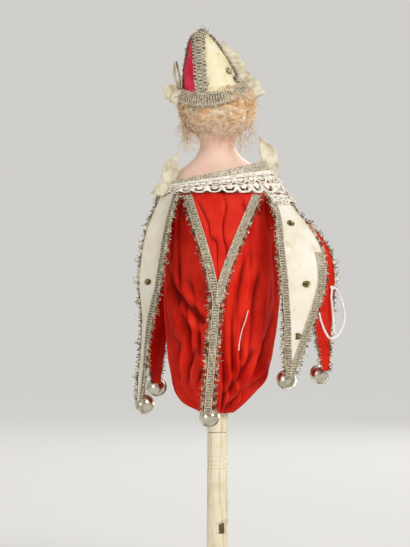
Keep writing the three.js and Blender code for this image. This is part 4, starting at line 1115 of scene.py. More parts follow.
# %% Bells on the tabs
bell_master = bell_shape()
for tab in tabs:
    bell = bell_master.copy()
    bell.data = bell_master.data.copy()
    bell.name = bell.data.name = f"plated_bell_{tab.name}"
    bpy.context.scene.collection.objects.link(bell)
    turn = Matrix.Rotation(math.radians(tab.tip_azimuth), 4, "Z")
    tilt = Matrix.Rotation(math.radians(BELL_REST_TILT - 90), 4, "X")
    bell.data.transform(Matrix.Translation(tab.pivot) @ turn @ tilt)
    dress(bell, bell_plate, f"bell_{tab.name}", "nickel", [f"bell_{tab.name}"])
print("bell faces", len(bell_master.data.polygons))
bpy.data.objects.remove(bell_master, do_unlink=True)

# %% [markdown]
# ## Spangles
# The cream tabs carry sewn spangles: small dull metal discs, each with a bead in its middle. A disc is
# dished by an inset that is pushed down, and narrowed, because old spangles are seldom round.

# %% Spangles
SPANGLE_RADIUS, SPANGLE_THICK, SPANGLE_BORDER, SPANGLE_DISH = 2.9, 0.35, 0.5, 0.18
SPANGLE_NARROWING, SPANGLE_BEAD, SPANGLE_STAND = 0.64, 0.95, 0.22
# tab: places across it, from -1 to 1, and along it, from 0 to 1
SPANGLES = {
    "back_right": [(0, 0.19), (-0.22, 0.52), (-0.1, 0.79)],
    "back_left": [(0.25, 0.44)],
    "front_right": [(0.1, 0.25), (0, 0.55), (0, 0.8)],
    "front_left": [(-0.1, 0.25), (0, 0.55), (0, 0.8)],
}


def spangle(tab, u, v):
    """A dished disc with a bead, sewn flat on the cloth."""
    fresh()
    bpy.ops.mesh.primitive_cylinder_add(vertices=24, radius=SPANGLE_RADIUS * MM, depth=SPANGLE_THICK * MM)
    disc = bpy.context.object
    bpy.ops.object.mode_set(mode="EDIT")
    bpy.ops.mesh.select_all(action="DESELECT")
    cap = bmesh.from_edit_mesh(disc.data)
    for face in cap.faces:
        face.select = face.normal.z > 0.9
    bmesh.update_edit_mesh(disc.data)
    bpy.ops.mesh.inset(thickness=SPANGLE_BORDER * MM)
    bpy.ops.transform.translate(value=(0, 0, -SPANGLE_DISH * MM))
    bpy.ops.object.mode_set(mode="OBJECT")
    disc.scale = (1, SPANGLE_NARROWING, 1)
    placed(disc)
    fresh()
    bpy.ops.mesh.primitive_uv_sphere_add(
        segments=14, ring_count=8, radius=SPANGLE_BEAD * MM, location=(0, 0, SPANGLE_THICK * MM)
    )
    bead = placed(bpy.context.object)
    made = smooth(join_up([disc, bead], f"spangle_{tab.name}_{round(100 * v)}"), 45)
    _, across, face = tab.axes(v)
    seat = Matrix((across, face.cross(across), face)).transposed().to_4x4()
    made.data.transform(Matrix.Translation(tab.at(u, v, TAB_CLOTH / 2 + SPANGLE_STAND)) @ seat)
    return dress(made, spangle_metal, f"tab_{tab.name}", "tinsel_braid")


for tab in tabs:
    for u, v in SPANGLES.get(tab.name, ()):
        spangle(tab, u, v)
print("spangles", sum(map(len, SPANGLES.values())))

# %% [markdown]
# ## Lace collar and neckline braid
# Machine lace is a net of cotton threads with scallops along its edge. Here a grid is wrapped round the
# shoulders and gathered, the holes of the pattern are deleted from it, and the threads that stay get a
# rounded thickness. A second, narrower row lies over it, two loose falls hang over the roots of tabs,
# and a metal braid covers the top edge.

# %% Collar shape
COLLAR_HALF_WIDTH, COLLAR_HALF_DEPTH, COLLAR_OFFSET = 35.5, 26.5, -2.5
COLLAR_HEIGHT, COLLAR_TILT, COLLAR_SLOPE_X, COLLAR_SLOPE_Y = 8, 7, 0.62, 0.5


def collar_at(azimuth, rise, grow):
    """A point of the collar at an azimuth, a rise up it and a distance off it, in mm."""
    flat = outward(azimuth)
    lean = -flat.x * COLLAR_HALF_WIDTH * math.tan(math.radians(COLLAR_TILT)) * rise / COLLAR_HEIGHT
    height = rise + lean
    x = flat.x * (COLLAR_HALF_WIDTH - COLLAR_SLOPE_X * height + grow) + COLLAR_OFFSET
    y = flat.y * (COLLAR_HALF_DEPTH - COLLAR_SLOPE_Y * height + grow)
    return Vector((x, y, COLLAR_Z + height)) * MM


# %% Lace pattern
LACE_COLUMNS, LACE_ROWS, LACE_THREAD, SCALLOP_DEPTH = 12, 9, 0.42, 1.5


def lace_hole(column, row):
    """Whether a cell of a scallop is open: a rosette of two rings and eight spokes, with a net above it."""
    x, y = 2 * (column + 0.5) / LACE_COLUMNS - 1, ((row + 0.5) / LACE_ROWS - 0.4) / 0.4
    far, turn = math.hypot(x, y), math.atan2(y, x)
    if far > 1.08:
        return row < LACE_ROWS - 1 and row % 2 == 0 and column % 2 == 0 and y > 0
    return 0.36 < far < 0.8 and abs(math.sin(4 * turn)) > 0.4


def scallop_drop(scallops, u):
    """How far the lower edge is drawn up between two scallops, in mm."""
    return SCALLOP_DEPTH * (1 - abs(math.sin(math.pi * scallops * u)) ** 0.7)


def lace_net(name, scallops, place):
    """A strip of lace with its holes opened, scallop by scallop."""
    columns, rows = LACE_COLUMNS * scallops, LACE_ROWS
    lace = cloth_grid(name, columns, rows, place)
    only(lace)
    bpy.ops.object.mode_set(mode="EDIT")
    net = bmesh.from_edit_mesh(lace.data)
    net.faces.ensure_lookup_table()
    for index, face in enumerate(net.faces):
        row, column = divmod(index, columns)
        face.select = lace_hole(column % LACE_COLUMNS, row)
    bmesh.update_edit_mesh(lace.data)
    bpy.ops.mesh.delete(type="FACE")
    bpy.ops.object.mode_set(mode="OBJECT")
    close_up(lace)
    finish_with(lace, "SOLIDIFY", thickness=LACE_THREAD * MM, offset=0)
    finish_with(lace, "SUBSURF", levels=1, render_levels=1)
    return smooth(lace)


# %% Rows and falls of lace
def lace_row(name, scallops, low, high, stand, gather, seed):
    """A gathered row of lace between two rises of the collar, with a scalloped lower edge."""

    def place(u, v):
        wave = math.sin(math.pi * scallops * u + seed) + 0.5 * math.sin(2 * math.pi * scallops * 0.31 * u)
        bottom = low + scallop_drop(scallops, u)
        loose = (1 - v) ** 1.2
        return collar_at(360 * u, lerp(bottom, high, v), stand + gather * loose * (0.6 + 0.5 * wave))

    return lace_net(name, scallops, place)


# tab: scallops, drop in mm, gather in mm and seed of its ruffle
LACE_FALLS = {"back_right": (6, 8.5, 2.6, 0.4), "right": (5, 5, 1.8, 1.9)}
FALL_START, FALL_OVERHANG, FALL_STAND = 1.3, 1.12, 0.9


def lace_fall(tab, scallops, drop_mm, gather, seed):
    """A loose ruffle of lace sewn to the root of a tab, which it follows."""

    def place(u, v):
        reach = drop_mm - FALL_START - scallop_drop(scallops, u)
        down = (FALL_START + reach * (1 - v)) / (tab.line.length / MM)
        wave = 0.6 + 0.5 * math.sin(math.pi * scallops * u + seed) + 0.3 * math.sin(11 * u + seed)
        return tab.at(FALL_OVERHANG * (2 * u - 1), down, FALL_STAND + gather * (1 - v) ** 0.8 * wave)

    return lace_net(f"lace_fall_{tab.name}", scallops, place)


# %% Collar and falls
wide_lace = lace_row("lace_collar_wide", 26, -0.4, COLLAR_HEIGHT + 0.4, 0.8, 2.2, 0.7)
narrow_lace = lace_row("lace_collar_narrow", 30, 4, COLLAR_HEIGHT + 0.8, 2, 1.6, 2.1)
dress(wide_lace, lace_cotton, "doll", "lace", ["lace_collar"])
dress(narrow_lace, lace_cotton, "doll", "lace")
WIDE_LACE_CUT, NARROW_LACE_CUT, FALL_CUT = 240, 230, 2.4
for tab in tabs:
    if tab.name in LACE_FALLS:
        fall = lace_fall(tab, *LACE_FALLS[tab.name])
        dress(fall, lace_cotton, f"tab_{tab.name}", "lace")
        FALL_CUT * tab.half(0)
print("lace faces", len(wide_lace.data.polygons), len(narrow_lace.data.polygons))

# %% Neckline braid
NECK_BRAID_LENGTH, NECK_BRAID_GAP, NECK_BRAID_NARROWING, NECK_BRAID_STAND = 190, 0.1, 0.9, 1.7


def neck_braid_place(d, v, lift):
    """A point d mm up the braid that covers the lace's top edge."""
    rise = COLLAR_HEIGHT + NECK_BRAID_GAP + NECK_BRAID_NARROWING * d
    return collar_at(360 * v, rise, NECK_BRAID_STAND + lift)


neck_braid, neck_edges = braid_strip("neckline_braid_ribs", neck_braid_place, NECK_BRAID_LENGTH)
dress(close_up(neck_braid, 10 * WELD), pale_braid, "doll", "tinsel_braid", ["neckline_braid"])
dress(neck_edges, edge_thread, "doll", "tinsel_braid")
print("neckline braid faces", len(neck_braid.data.polygons))
# %% [markdown]
# ## The shoulder head
# The head, neck and shoulder plate are one casting of bisque. The photograph shows only the back, so
# the face is a plain, calm doll's face of no particular maker: a small nose, full cheeks, closed lips
# and almond eye openings with glass eyes set behind them. A grid is wrapped round the head's outline
# and the features are soft hills and hollows in it. The cheeks, lips, brows and lashes are painted as a
# colour attribute of the mesh.

# %% Head shape
HEAD_HALF_DEPTH, NECK_Z, SHOULDER_TILT = 17.2, 253, 3
EYE_RADIUS, EYE_X, EYE_Z = 3.4, 6.2, 270.5
EYE_Y = 1.6 - HEAD_HALF_DEPTH + 0.72 * EYE_RADIUS
HEAD_COLUMNS, HEAD_ROWS = 220, 190
# height, half width, half depth and middle of the head's outline
HEAD_OUTLINE = [
    (226.4, 31, 20.5, 0), (231.9, 30.1, 19.9, 0), (237.3, 26, 17.6, 0), (242.2, 18.6, 14.4, 0),
    (246.8, 13.4, 12.4, 0), (252, 10.5, 10.6, 0), (255.5, 10.3, 10.5, -0.2), (259.5, 12.1, 13.2, -1.5),
    (262.5, 13.8, 15, -1.7), (266, 15, 16.6, -1.4), (270, 16, 17.1, -1), (275, 16.2, 17.2, -0.6),
    (279, 15.8, 16.9, -0.2), (282.5, 14.6, 16, 0), (285.5, 12, 13.4, 0), (287.4, 9, 10.2, 0),
]
outline_of = [[(row[0], row[k]) for row in HEAD_OUTLINE] for k in (1, 2, 3)]


def hill(x, z, at_x, at_z, wide, tall):
    """A soft hill, 1 at its top."""
    return math.exp(-(((x - at_x) / wide) ** 2) - ((z - at_z) / tall) ** 2)


def almond(x, z, grow=0.0):
    """Under 1 inside the eye opening."""
    off = abs(x) - EYE_X
    arch = (z - EYE_Z + 0.1 * off) / ((1.75 if z > EYE_Z else 1.25) + grow)
    return (off / (3.1 + grow)) ** 2 + arch**2


def relief(x, z):
    """How far the face stands out, in mm, at a place on its front."""
    side = abs(x)
    nose = 2.9 * hill(x, z, 0, 266.4, 1.55, 1.5) + 1.7 * hill(x, z, 0, 269.2, 1.3, 2.6)
    nose += 0.75 * hill(side, z, 1.6, 265.9, 0.9, 0.9)
    lips = 0.95 * hill(x, z, 0, 262.55, 2.7, 0.62) + 1.0 * hill(x, z, 0, 261.0, 2.2, 0.68)
    lips -= 0.5 * hill(x, z, 0, 261.8, 3.0, 0.3) + 0.35 * hill(x, z, 0, 264.1, 0.5, 0.8)
    chin = 1.8 * hill(x, z, 0, 258.2, 3.6, 1.7) - 0.6 * hill(x, z, 0, 259.9, 2.6, 0.8)
    cheeks = 0.9 * hill(side, z, 8, 264, 4.2, 4)
    brow = 0.55 * hill(side, z, 6.4, 274.3, 4.5, 1.5)
    socket = -1.1 * hill(side, z, EYE_X - 0.3, EYE_Z, 3.9, 2.6)
    lid = 0.75 * hill(almond(x, z), 0, 1.25, 0, 0.35, 1)
    hole = -3.2 * ease(1.06, 0.9, almond(x, z))
    return nose + lips + chin + cheeks + brow + socket + lid + hole


def head_place(u, v):
    """The head's point at a share round it and a share of its height."""
    z = lerp(HEAD_OUTLINE[0][0], HEAD_OUTLINE[-1][0], v)
    turn = 2 * math.pi * u
    wide, deep, middle = (through(stations, z) for stations in outline_of)
    x, y = wide * math.sin(turn), deep * math.cos(turn) + middle
    front = ease(-0.25, -0.75, math.cos(turn)) * ease(255.2, 257.4, z)
    if front:
        y -= front * relief(x, z)
    nape = 0.8 * hill(x, z, 0, 258, 3, 5) * ease(0.3, 0.9, math.cos(turn))
    blades = 1.0 * hill(abs(x), z, 13, 236, 6, 4) * ease(0.2, 0.8, math.cos(turn))
    y += blades - nape
    fade = min(max((NECK_Z - z) / (NECK_Z - COLLAR_Z), 0), 1)
    z += (SHOULDER_HALF_WIDTH - x) * math.tan(math.radians(SHOULDER_TILT)) * fade
    return Vector((x - SHOULDER_SHIFT * fade, y, z)) * MM


# %% Head
# A coarser grid would do for the shoulders, but the face needs faces of about 0.4 mm.
head = smooth(close_up(cloth_grid("bisque_shoulder_head", HEAD_COLUMNS, HEAD_ROWS, head_place)))
print("head faces", len(head.data.polygons))

# %% Painted features
LIPS_Z = 261.9
LIP, CHEEK, BROW, LASH = (linear(c)[:3] for c in ("#c8554e", "#e79a88", "#a4743f", "#5a3a26"))


def paint_of(x, y, z):
    """The paint and how thick it is, at a place on the head."""
    if y > -6 or z < 256:
        return (1, 1, 1), 0.0
    side = abs(x)
    bow = 262.5 + 0.45 * hill(side, 0, 1.1, 0, 0.9, 1) - 0.09 * side**2
    lip_height = bow - 261.6 if z > LIPS_Z else 1.15 * (1 - (side / 3.3) ** 2)
    lips = ease(0.5, 0.1, abs(z - LIPS_Z) - lip_height) * ease(3.2, 2.6, side)
    arch = EYE_Z + 4.1 + 0.9 * math.cos((side - 6.4) / 2.9) - 0.9
    brows = ease(0.65, 0.2, abs(z - arch)) * ease(2.9, 3.9, side) * ease(10.6, 8.6, side)
    edge = almond(x, z)
    lashes = ease(1.5, 1.22, edge) * ease(0.85, 1.0, edge) * (1 if z > EYE_Z - 0.2 else 0.45)
    cheeks = 0.55 * hill(side, z, 8.6, 264.4, 3.6, 3)
    return max(((LASH, lashes), (BROW, brows), (LIP, lips), (CHEEK, cheeks)), key=lambda pair: pair[1])


paint = head.data.color_attributes.new("paint", "FLOAT_COLOR", "POINT")
for vertex, dab in zip(head.data.vertices, paint.data):
    colour, amount = paint_of(*(vertex.co / MM))
    dab.color = (*colour, amount)
brushed = node(bisque_tree, "ShaderNodeVertexColor", layer_name="paint").outputs
painted = between(bisque_tree, brushed["Alpha"], bisque_base, brushed["Color"])
bisque_tree.links.new(painted, bisque_shader.inputs["Base Color"])
dress(head, bisque, "doll", "bisque", ["shoulder_head"])
print("painted points", sum(dab.color[3] > 0.5 for dab in paint.data))

# %% [markdown]
# ### Glass eyes and lids
# Each eye is a sphere whose pole looks forward, so its rings are the edges of the pupil and iris. The
# rings are coloured as an attribute, and a clear coat gives the wet look of glass. The lids are a
# larger half sphere of bisque with the almond opening cut out of it.

# %% Eyes
eye_glass, tree, bsdf = finish_of("glass_eye", Roughness=0.08, Coat_Weight=1.0, Coat_Roughness=0.03, IOR=1.5)
ring_colour = node(tree, "ShaderNodeVertexColor", layer_name="rings").outputs["Color"]
tree.links.new(ring_colour, bsdf.inputs["Base Color"])
LID_GAP, LID_THICK, LID_DEEP = 0.15, 0.22, 0.5
FACING_FRONT = (math.pi / 2, 0, 0)
# the angle from the eye's pole up to which each colour reaches, in degrees
EYE_RINGS = [
    (8, "#0c0a0a"), (11, "#2d4152"), (19, "#5f86a6"), (25, "#7ea3bd"), (28, "#33475a"), (181, "#efe9e0"),
]

for side, name in ((1, "left"), (-1, "right")):
    middle = Vector((side * EYE_X, EYE_Y, EYE_Z)) * MM
    fresh()
    bpy.ops.mesh.primitive_uv_sphere_add(
        segments=40, ring_count=72, radius=EYE_RADIUS * MM, rotation=FACING_FRONT, location=middle
    )
    eye = placed(bpy.context.object)
    eye.name = eye.data.name = f"glass_eye_{name}"
    rings = eye.data.color_attributes.new("rings", "FLOAT_COLOR", "POINT")
    for vertex, dab in zip(eye.data.vertices, rings.data):
        angle = math.degrees((vertex.co - middle).angle(Vector((0, -1, 0)), 0))
        dab.color = linear(next(colour for limit, colour in EYE_RINGS if angle <= limit))
    dress(smooth(eye), eye_glass, "doll", "glass_eye", [f"eye_{name}"])
    fresh()
    bpy.ops.mesh.primitive_uv_sphere_add(
        segments=64, ring_count=64, radius=(EYE_RADIUS + LID_GAP) * MM, rotation=FACING_FRONT, location=middle
    )
    lids = placed(bpy.context.object)
    lids.name = lids.data.name = f"eyelids_{name}"
    bpy.ops.object.mode_set(mode="EDIT")
    shell = bmesh.from_edit_mesh(lids.data)
    for face in shell.faces:
        x, y, z = face.calc_center_median() / MM
        face.select = almond(x, z) < 1 or y > EYE_Y - LID_DEEP
    bmesh.update_edit_mesh(lids.data)
    bpy.ops.mesh.delete(type="FACE")
    bpy.ops.object.mode_set(mode="OBJECT")
    finish_with(lids, "SOLIDIFY", thickness=LID_THICK * MM, offset=1)
    paint = lids.data.color_attributes.new("paint", "FLOAT_COLOR", "POINT")
    for vertex, dab in zip(lids.data.vertices, paint.data):
        x, _, z = vertex.co / MM
        edge = almond(x, z)
        dab.color = (*LASH, ease(1.3, 1.1, edge) * (0.9 if z > EYE_Z - 0.2 else 0.35))
    dress(smooth(lids), bisque, "doll", "bisque")
    print("eye", name, "lid faces", len(lids.data.polygons))

# %% [markdown]
# ## The mohair wig
# Curled mohair covers the head from the cap down to the nape and leaves the face free. A lumpy shell
# stands for the mass of it. Over that lie a few hundred locks, each of several fine strands that wind
# down together as a loose helix, placed and sized by a seeded chance. Single hairs stray all round.

# %% Wig shell
# height, half width, half depth and middle of the wig's outline
WIG_OUTLINE = [
    (258.5, 10.4, 8.6, 8), (261.5, 14.6, 12.2, 6.6), (265, 18.4, 15.8, 5), (270, 21, 18.8, 2.6),
    (276.5, 22.2, 19.7, 1), (283.5, 21.2, 19, 0.2), (287.5, 18, 17.2, 0), (291.5, 12.6, 13, 0),
    (294, 8, 9, 0),
]
wig_of = [[(row[0], row[k]) for row in WIG_OUTLINE] for k in (1, 2, 3)]
FACE_AZIMUTH, WIG_TOP, FRINGE_Z = 128, 293, 282.2
WIG_SINK, FRINGE_SINK, WIG_WALL = 1.5, 2.2, 1.2


def wig_at(azimuth, z, grow):
    """A point of the wig's surface, grown outwards, lengths in mm."""
    wide, deep, middle = (through(stations, z) for stations in wig_of)
    flat = outward(azimuth)
    return Vector((flat.x * (wide + grow), flat.y * (deep + grow) + middle, z)) * MM


def wig_bottom(azimuth):
    """The hair's lower edge: lowest at the nape, higher beside the face."""
    return 259.5 + 6.5 * ease(60, FACE_AZIMUTH, abs(azimuth)) + 0.8 * math.sin(azimuth / 7)


def shell_place(u, v):
    """The lumpy shell at the back and sides, tucked in along its edges."""
    azimuth = lerp(-FACE_AZIMUTH, FACE_AZIMUTH, u)
    z = lerp(wig_bottom(azimuth), WIG_TOP, v)
    lumps = 0.5 * math.sin(azimuth / 6 + 1.5 * math.sin(z)) + 0.4 * math.sin(z * 1.3 + azimuth / 9)
    tucked = 2.6 * ease(0.82, 1, abs(2 * u - 1)) + 2.2 * ease(0.16, 0, v)
    return wig_at(azimuth, z, -WIG_SINK + lumps - tucked)


def fringe_place(u, v):
    """The short hair over the forehead."""
    azimuth = lerp(FACE_AZIMUTH - 6, 366 - FACE_AZIMUTH, u)
    z = lerp(FRINGE_Z + 1.2 * math.sin(9 * u) * ease(0, 0.3, u), WIG_TOP, v)
    return wig_at(azimuth, z, -FRINGE_SINK + 0.5 * math.sin(azimuth / 3 + z) - 1.8 * ease(0.25, 0, v))


shell_parts = [cloth_grid("wig_back", 120, 60, shell_place), cloth_grid("wig_fringe", 60, 18, fringe_place)]
shell = join_up(shell_parts, "wig_shell")
close_up(shell)
finish_with(shell, "SOLIDIFY", thickness=WIG_WALL * MM, offset=-1)
dress(smooth(shell), mohair, "doll", "mohair", ["wig"])
print("wig faces", len(shell.data.polygons))

# %% Curled locks
LOCKS, FRINGE_LOCKS, STRANDS, STRAND_STEPS = 440, 34, 6, 20
HAIR_WIDTH, CURL_RADIUS, LOCK_FLOOR = 0.105, 21, 257.5
hair_chance = random.Random(11)


def lock(azimuth, z, length, curl, turns, flare):
    """Strands of one lock that winds down over the wig from its root."""
    lines = []
    start, lean = hair_chance.uniform(0, 6.28), hair_chance.uniform(-0.5, 0.5)
    for _ in range(STRANDS):
        phase, spread = start + hair_chance.gauss(0, 0.35), hair_chance.gauss(0, 0.45)
        line = []
        for i in range(STRAND_STEPS + 1):
            t = i / STRAND_STEPS
            down = z - length * t
            at = azimuth + (lean * length * t + spread * 1.3) * 3 + hair_chance.gauss(0, 0.08)
            grow = -0.9 + flare * t + 0.55 * spread
            turn = phase + 2 * math.pi * turns * t
            size = curl * ease(0, 0.25, t)
            at += math.degrees(size * math.cos(turn) / CURL_RADIUS)
            point = wig_at(at, max(down, LOCK_FLOOR), grow + size * math.sin(turn))
            point.z -= 0.8 * MM * max(0, LOCK_FLOOR - down)
            line.append((*point, 1 - 0.55 * t))
        lines.append(line)
    return lines


hair_lines = []
for _ in range(LOCKS):
    azimuth = hair_chance.uniform(-FACE_AZIMUTH, FACE_AZIMUTH)
    low = wig_bottom(azimuth)
    z = lerp(low + 2.5, 292, hair_chance.random() ** 0.85)
    length = min(hair_chance.uniform(5, 12), z - low + hair_chance.uniform(-0.5, 2.5))
    curl, turns, flare = (hair_chance.uniform(*span) for span in ((0.5, 1.4), (1.2, 2.8), (0, 1.3)))
    hair_lines += lock(azimuth, z, length, curl, turns, flare)
for _ in range(FRINGE_LOCKS):
    azimuth = hair_chance.uniform(FACE_AZIMUTH - 4, 364 - FACE_AZIMUTH)
    hair_lines += lock(azimuth, hair_chance.uniform(286, 291), hair_chance.uniform(4, 6.5), 0.8, 1.6, 0.2)
third = len(hair_lines) // 3
for number, name in enumerate(("mohair_locks_under", "mohair_locks", "mohair_locks_over")):
    part = hair_lines[number * third:(number + 1) * third]
    dress(threads(name, part, HAIR_WIDTH * MM, sides=3), mohair, "doll", "mohair")
print("strands", len(hair_lines))

# %% Stray hairs
NAPE_WISPS, FLYAWAYS, SIDE_CURLS, STRAY_WIDTH = 46, 320, 90, 0.09


def hair(steps, thinning, point_at):
    """One hair as points and widths, thinner towards its end. point_at(t) runs from its root at 0."""
    line = []
    for i in range(steps + 1):
        t = i / steps
        line.append((*point_at(t), 1 - thinning * t))
    return line


def nape_wisp():
    """A hair that hangs loose at the nape or beside it."""
    spots = hair_chance.gauss(-62, 16), hair_chance.gauss(52, 16), hair_chance.gauss(0, 30)
    azimuth = hair_chance.choice(spots)
    low = wig_bottom(azimuth)
    reach, swing = hair_chance.uniform(5, 13), hair_chance.uniform(-9, 9)
    wave, phase = hair_chance.uniform(0.3, 0.9), hair_chance.uniform(0, 6)

    def point_at(t):
        grow = -0.6 + 1.6 * t + wave * math.sin(9 * t + phase) * t
        point = wig_at(azimuth + swing * t * t, low + 2.5 - 1.5 * t, grow)
        point.z -= reach * t * MM
        return point

    return hair(14, 0.5, point_at)


def flyaway():
    """A short hair that stands off the wig."""
    azimuth = hair_chance.uniform(-FACE_AZIMUTH, FACE_AZIMUTH)
    z = hair_chance.uniform(wig_bottom(azimuth) + 2, 288)
    reach, swing = hair_chance.uniform(1, 3.4), hair_chance.uniform(-7, 7)
    drop, phase = hair_chance.uniform(-2, 4), hair_chance.uniform(0, 6)

    def point_at(t):
        grow = 0.2 + reach * t * (1.2 - 0.5 * t) + 0.3 * math.sin(6 * t + phase)
        return wig_at(azimuth + swing * t, z - drop * t * t, grow)

    return hair(8, 0.5, point_at)


def side_curl():
    """A curled hair that hangs down beside the neck."""
    azimuth = hair_chance.choice((-1, -1, 1)) * hair_chance.uniform(58, 104)
    z, out, drop = (hair_chance.uniform(*span) for span in ((260, 271), (0.5, 6), (3, 15)))
    curl, turns, phase = (hair_chance.uniform(*span) for span in ((0.5, 1.7), (1.2, 3.4), (0, 6)))

    def point_at(t):
        turn = phase + 2 * math.pi * turns * t
        x, y, hang = curl * math.sin(turn), 0.6 * curl * math.cos(turn), curl * math.cos(turn) - drop * t
        return wig_at(azimuth, z, -1.4 + out * t) + Vector((x, y, hang)) * ease(0, 0.3, t) * MM

    return hair(18, 0.4, point_at)


wisps = [nape_wisp() for _ in range(NAPE_WISPS)]
wisps += [flyaway() for _ in range(FLYAWAYS)]
wisps += [side_curl() for _ in range(SIDE_CURLS)]
stray = threads("mohair_wisps", wisps, STRAY_WIDTH * MM, sides=3)
dress(stray, fine_mohair, "doll", "mohair")
print("stray hairs", len(wisps))

# %% [markdown]
# ## The cap
# The peaked cap is four gores of silk, cream and pink-red by turns. A looped braid covers the seams and
# a band of braid its edge. The tip ends in a tuft of curled tinsel, and two knots of it sit beside a seam.
# Each gore is a grid bent round a leaning cone, so its seams meet those of its neighbours.

# %% Cap gores
CAP_RADIUS, CAP_TIP_RADIUS = 17.2, 3.4
CAP_BASE, CAP_TIP = Vector((2.6, 3.5, 286)), Vector((9.2, 2.5, 318.5))
CAP_TILT_BACK, CAP_ROLL, CAP_FULLNESS = 25, 9, 0.66
CAP_SEAMS = (-20, 86, 165, 250, 340)
CAP_CLOTH, CAP_PUFF, CAP_CUT_FULLNESS, CAP_CUT_LENGTH = 0.7, 0.75, 1.08, 38


def cap_radius(share):
    """The cap's radius in mm at a share of its height."""
    return CAP_TIP_RADIUS + (CAP_RADIUS - CAP_TIP_RADIUS) * max(1 - share, 0) ** CAP_FULLNESS


def cap_at(share, azimuth, lift):
    """A point of the cap at a share of its height, lifted off its cloth, lengths in mm."""
    fade = 1 - share
    tilt = Matrix.Rotation(math.radians(-CAP_TILT_BACK * fade), 3, "X")
    roll = Matrix.Rotation(math.radians(CAP_ROLL * fade), 3, "Y")
    out = tilt @ roll @ (outward(azimuth) * (cap_radius(share) + lift))
    return (out + CAP_BASE.lerp(CAP_TIP, share)) * MM


GORES = (("cream", "back"), ("red", "right"), ("cream", "front"), ("red", "left"))
CAP_FINISHES = {"cream": (cap_cream_silk, "cream_silk"), "red": (cap_red_silk, "cap_red_silk")}
for quarter, (colour, where) in enumerate(GORES):
    def gore_place(u, v, k=quarter):
        puff = CAP_PUFF * math.sin(math.pi * u) * math.sin(math.pi * min(0.1 + v, 1))
        crease = 0.22 * math.sin(11 * v + 3 * u + k) + 0.16 * math.sin(7 * u + 15 * v + 2 * k)
        return cap_at(v, lerp(CAP_SEAMS[k], CAP_SEAMS[k + 1], u), puff + crease * math.sin(math.pi * u))

    gore = cloth_grid(f"cap_{colour}_gore_{where}", 24, 36, gore_place)
    cut = flat_size(2 * math.pi * CAP_RADIUS / 4 * MM * CAP_CUT_FULLNESS, CAP_CUT_LENGTH * MM, gore)
    smooth(finish_with(gore, "SOLIDIFY", thickness=CAP_CLOTH * MM, offset=-1))
    silk_finish, slot = CAP_FINISHES[colour]
    dress(gore, silk_finish, "doll", slot, [f"cap_gore_{colour}_{where}"])
print("gores", len(GORES))

# %% Cap braid
SEAM_LENGTH, BAND_LENGTH, LOOP_THREAD = 36, 112, 0.33
SEAM_LOOPS, SEAM_LOOP_PITCH, BAND_LOOPS, SEAM_TINSEL_OUT = 4.3, 1.9, 0.9, 2.4


def loops(name, place, length_mm, reach, pitch=2.3):
    """A pale thread that runs in loops beside a braid. place(d, v) is d mm out from it."""
    count = max(4, round(length_mm / pitch))
    line = []
    for i in range(count * 10 + 1):
        t = i / 10
        v = (t - 0.16 * math.sin(4 * math.pi * t)) / count
        line.append(place(reach * (0.5 - 0.5 * math.cos(2 * math.pi * t)), min(max(v, 0), 1)))
    return threads(name, [line], LOOP_THREAD * MM, sides=6)


def seam_place(seam):
    """The place of the braid along a seam, for braid_strip. It narrows towards the tip."""
    def place(d, v, lift):
        share = lerp(0.06, 0.99, v)
        across = (d - BRAID_WIDTH / 2) * min(1, cap_radius(share) / 7 + 0.15)
        return cap_at(share, seam + math.degrees(across / cap_radius(share)), CAP_CLOTH + lift)
    return place


def seam_edge(place, side):
    """The edge that the tinsel beside a seam grows from."""
    def edge(v):
        near, far = (place(BRAID_WIDTH / 2 + out, v, 0.3) for out in (0, SEAM_TINSEL_OUT * side))
        up = (place(BRAID_WIDTH / 2, v, 1.3) - near).normalized()
        out = (far - near).normalized()
        return far, out, up.cross(out), up
    return edge


def band_place(d, v, lift):
    """The place of the band's braid. It flares at its lower edge, because it sits on the hair."""
    up = d / BRAID_WIDTH
    return cap_at(lerp(-0.02, 0.1, up), 360 * v, lerp(3, 1.3, up) + lift)


cap_ribs, cap_pale, cap_wires = [], [], []
for number, seam in enumerate(CAP_SEAMS[:4]):
    place = seam_place(seam)
    strip, edges = braid_strip(f"cap_seam_{number}", place, SEAM_LENGTH)
    cap_ribs.append(strip)
    cap_pale.append(edges)
    for side in (-1, 1):
        far = lambda d, v, s=side, p=place: p(BRAID_WIDTH / 2 + s * (d - 0.5), v, 0.75)
        cap_pale.append(loops(f"cap_loops_{number}_{side}", far, SEAM_LENGTH, SEAM_LOOPS, SEAM_LOOP_PITCH))
        seed = 70 + 2 * number + side
        wire = tinsel(f"cap_wire_{number}_{side}", seam_edge(place, side), SEAM_LENGTH, seed, (0.5, 1.5), 1.2)
        cap_wires.append(wire)
strip, edges = braid_strip("cap_band", band_place, BAND_LENGTH)
cap_ribs.append(strip)
cap_pale.append(edges)
for low, way in ((0, -1), (BRAID_WIDTH, 1)):
    far = lambda d, v, a=low, w=way: band_place(a + w * d, v, 0.1)
    cap_pale.append(loops(f"cap_band_loops_{way}", far, BAND_LENGTH, BAND_LOOPS))
dress(join_up(cap_ribs, "cap_braid"), braid_metal, "doll", "tinsel_braid")
dress(join_up(cap_pale, "cap_braid_loops"), edge_thread, "doll", "tinsel_braid")
dress(join_up(cap_wires, "cap_tinsel"), tinsel_wire, "doll", "tinsel_braid")
print("cap braids", len(cap_ribs))

# %% Tinsel tufts
TUFT_WIRE, TUFT_STEPS = 0.12, 16
KNOT_SPOTS = ((0.35, 52), (0.2, 62))


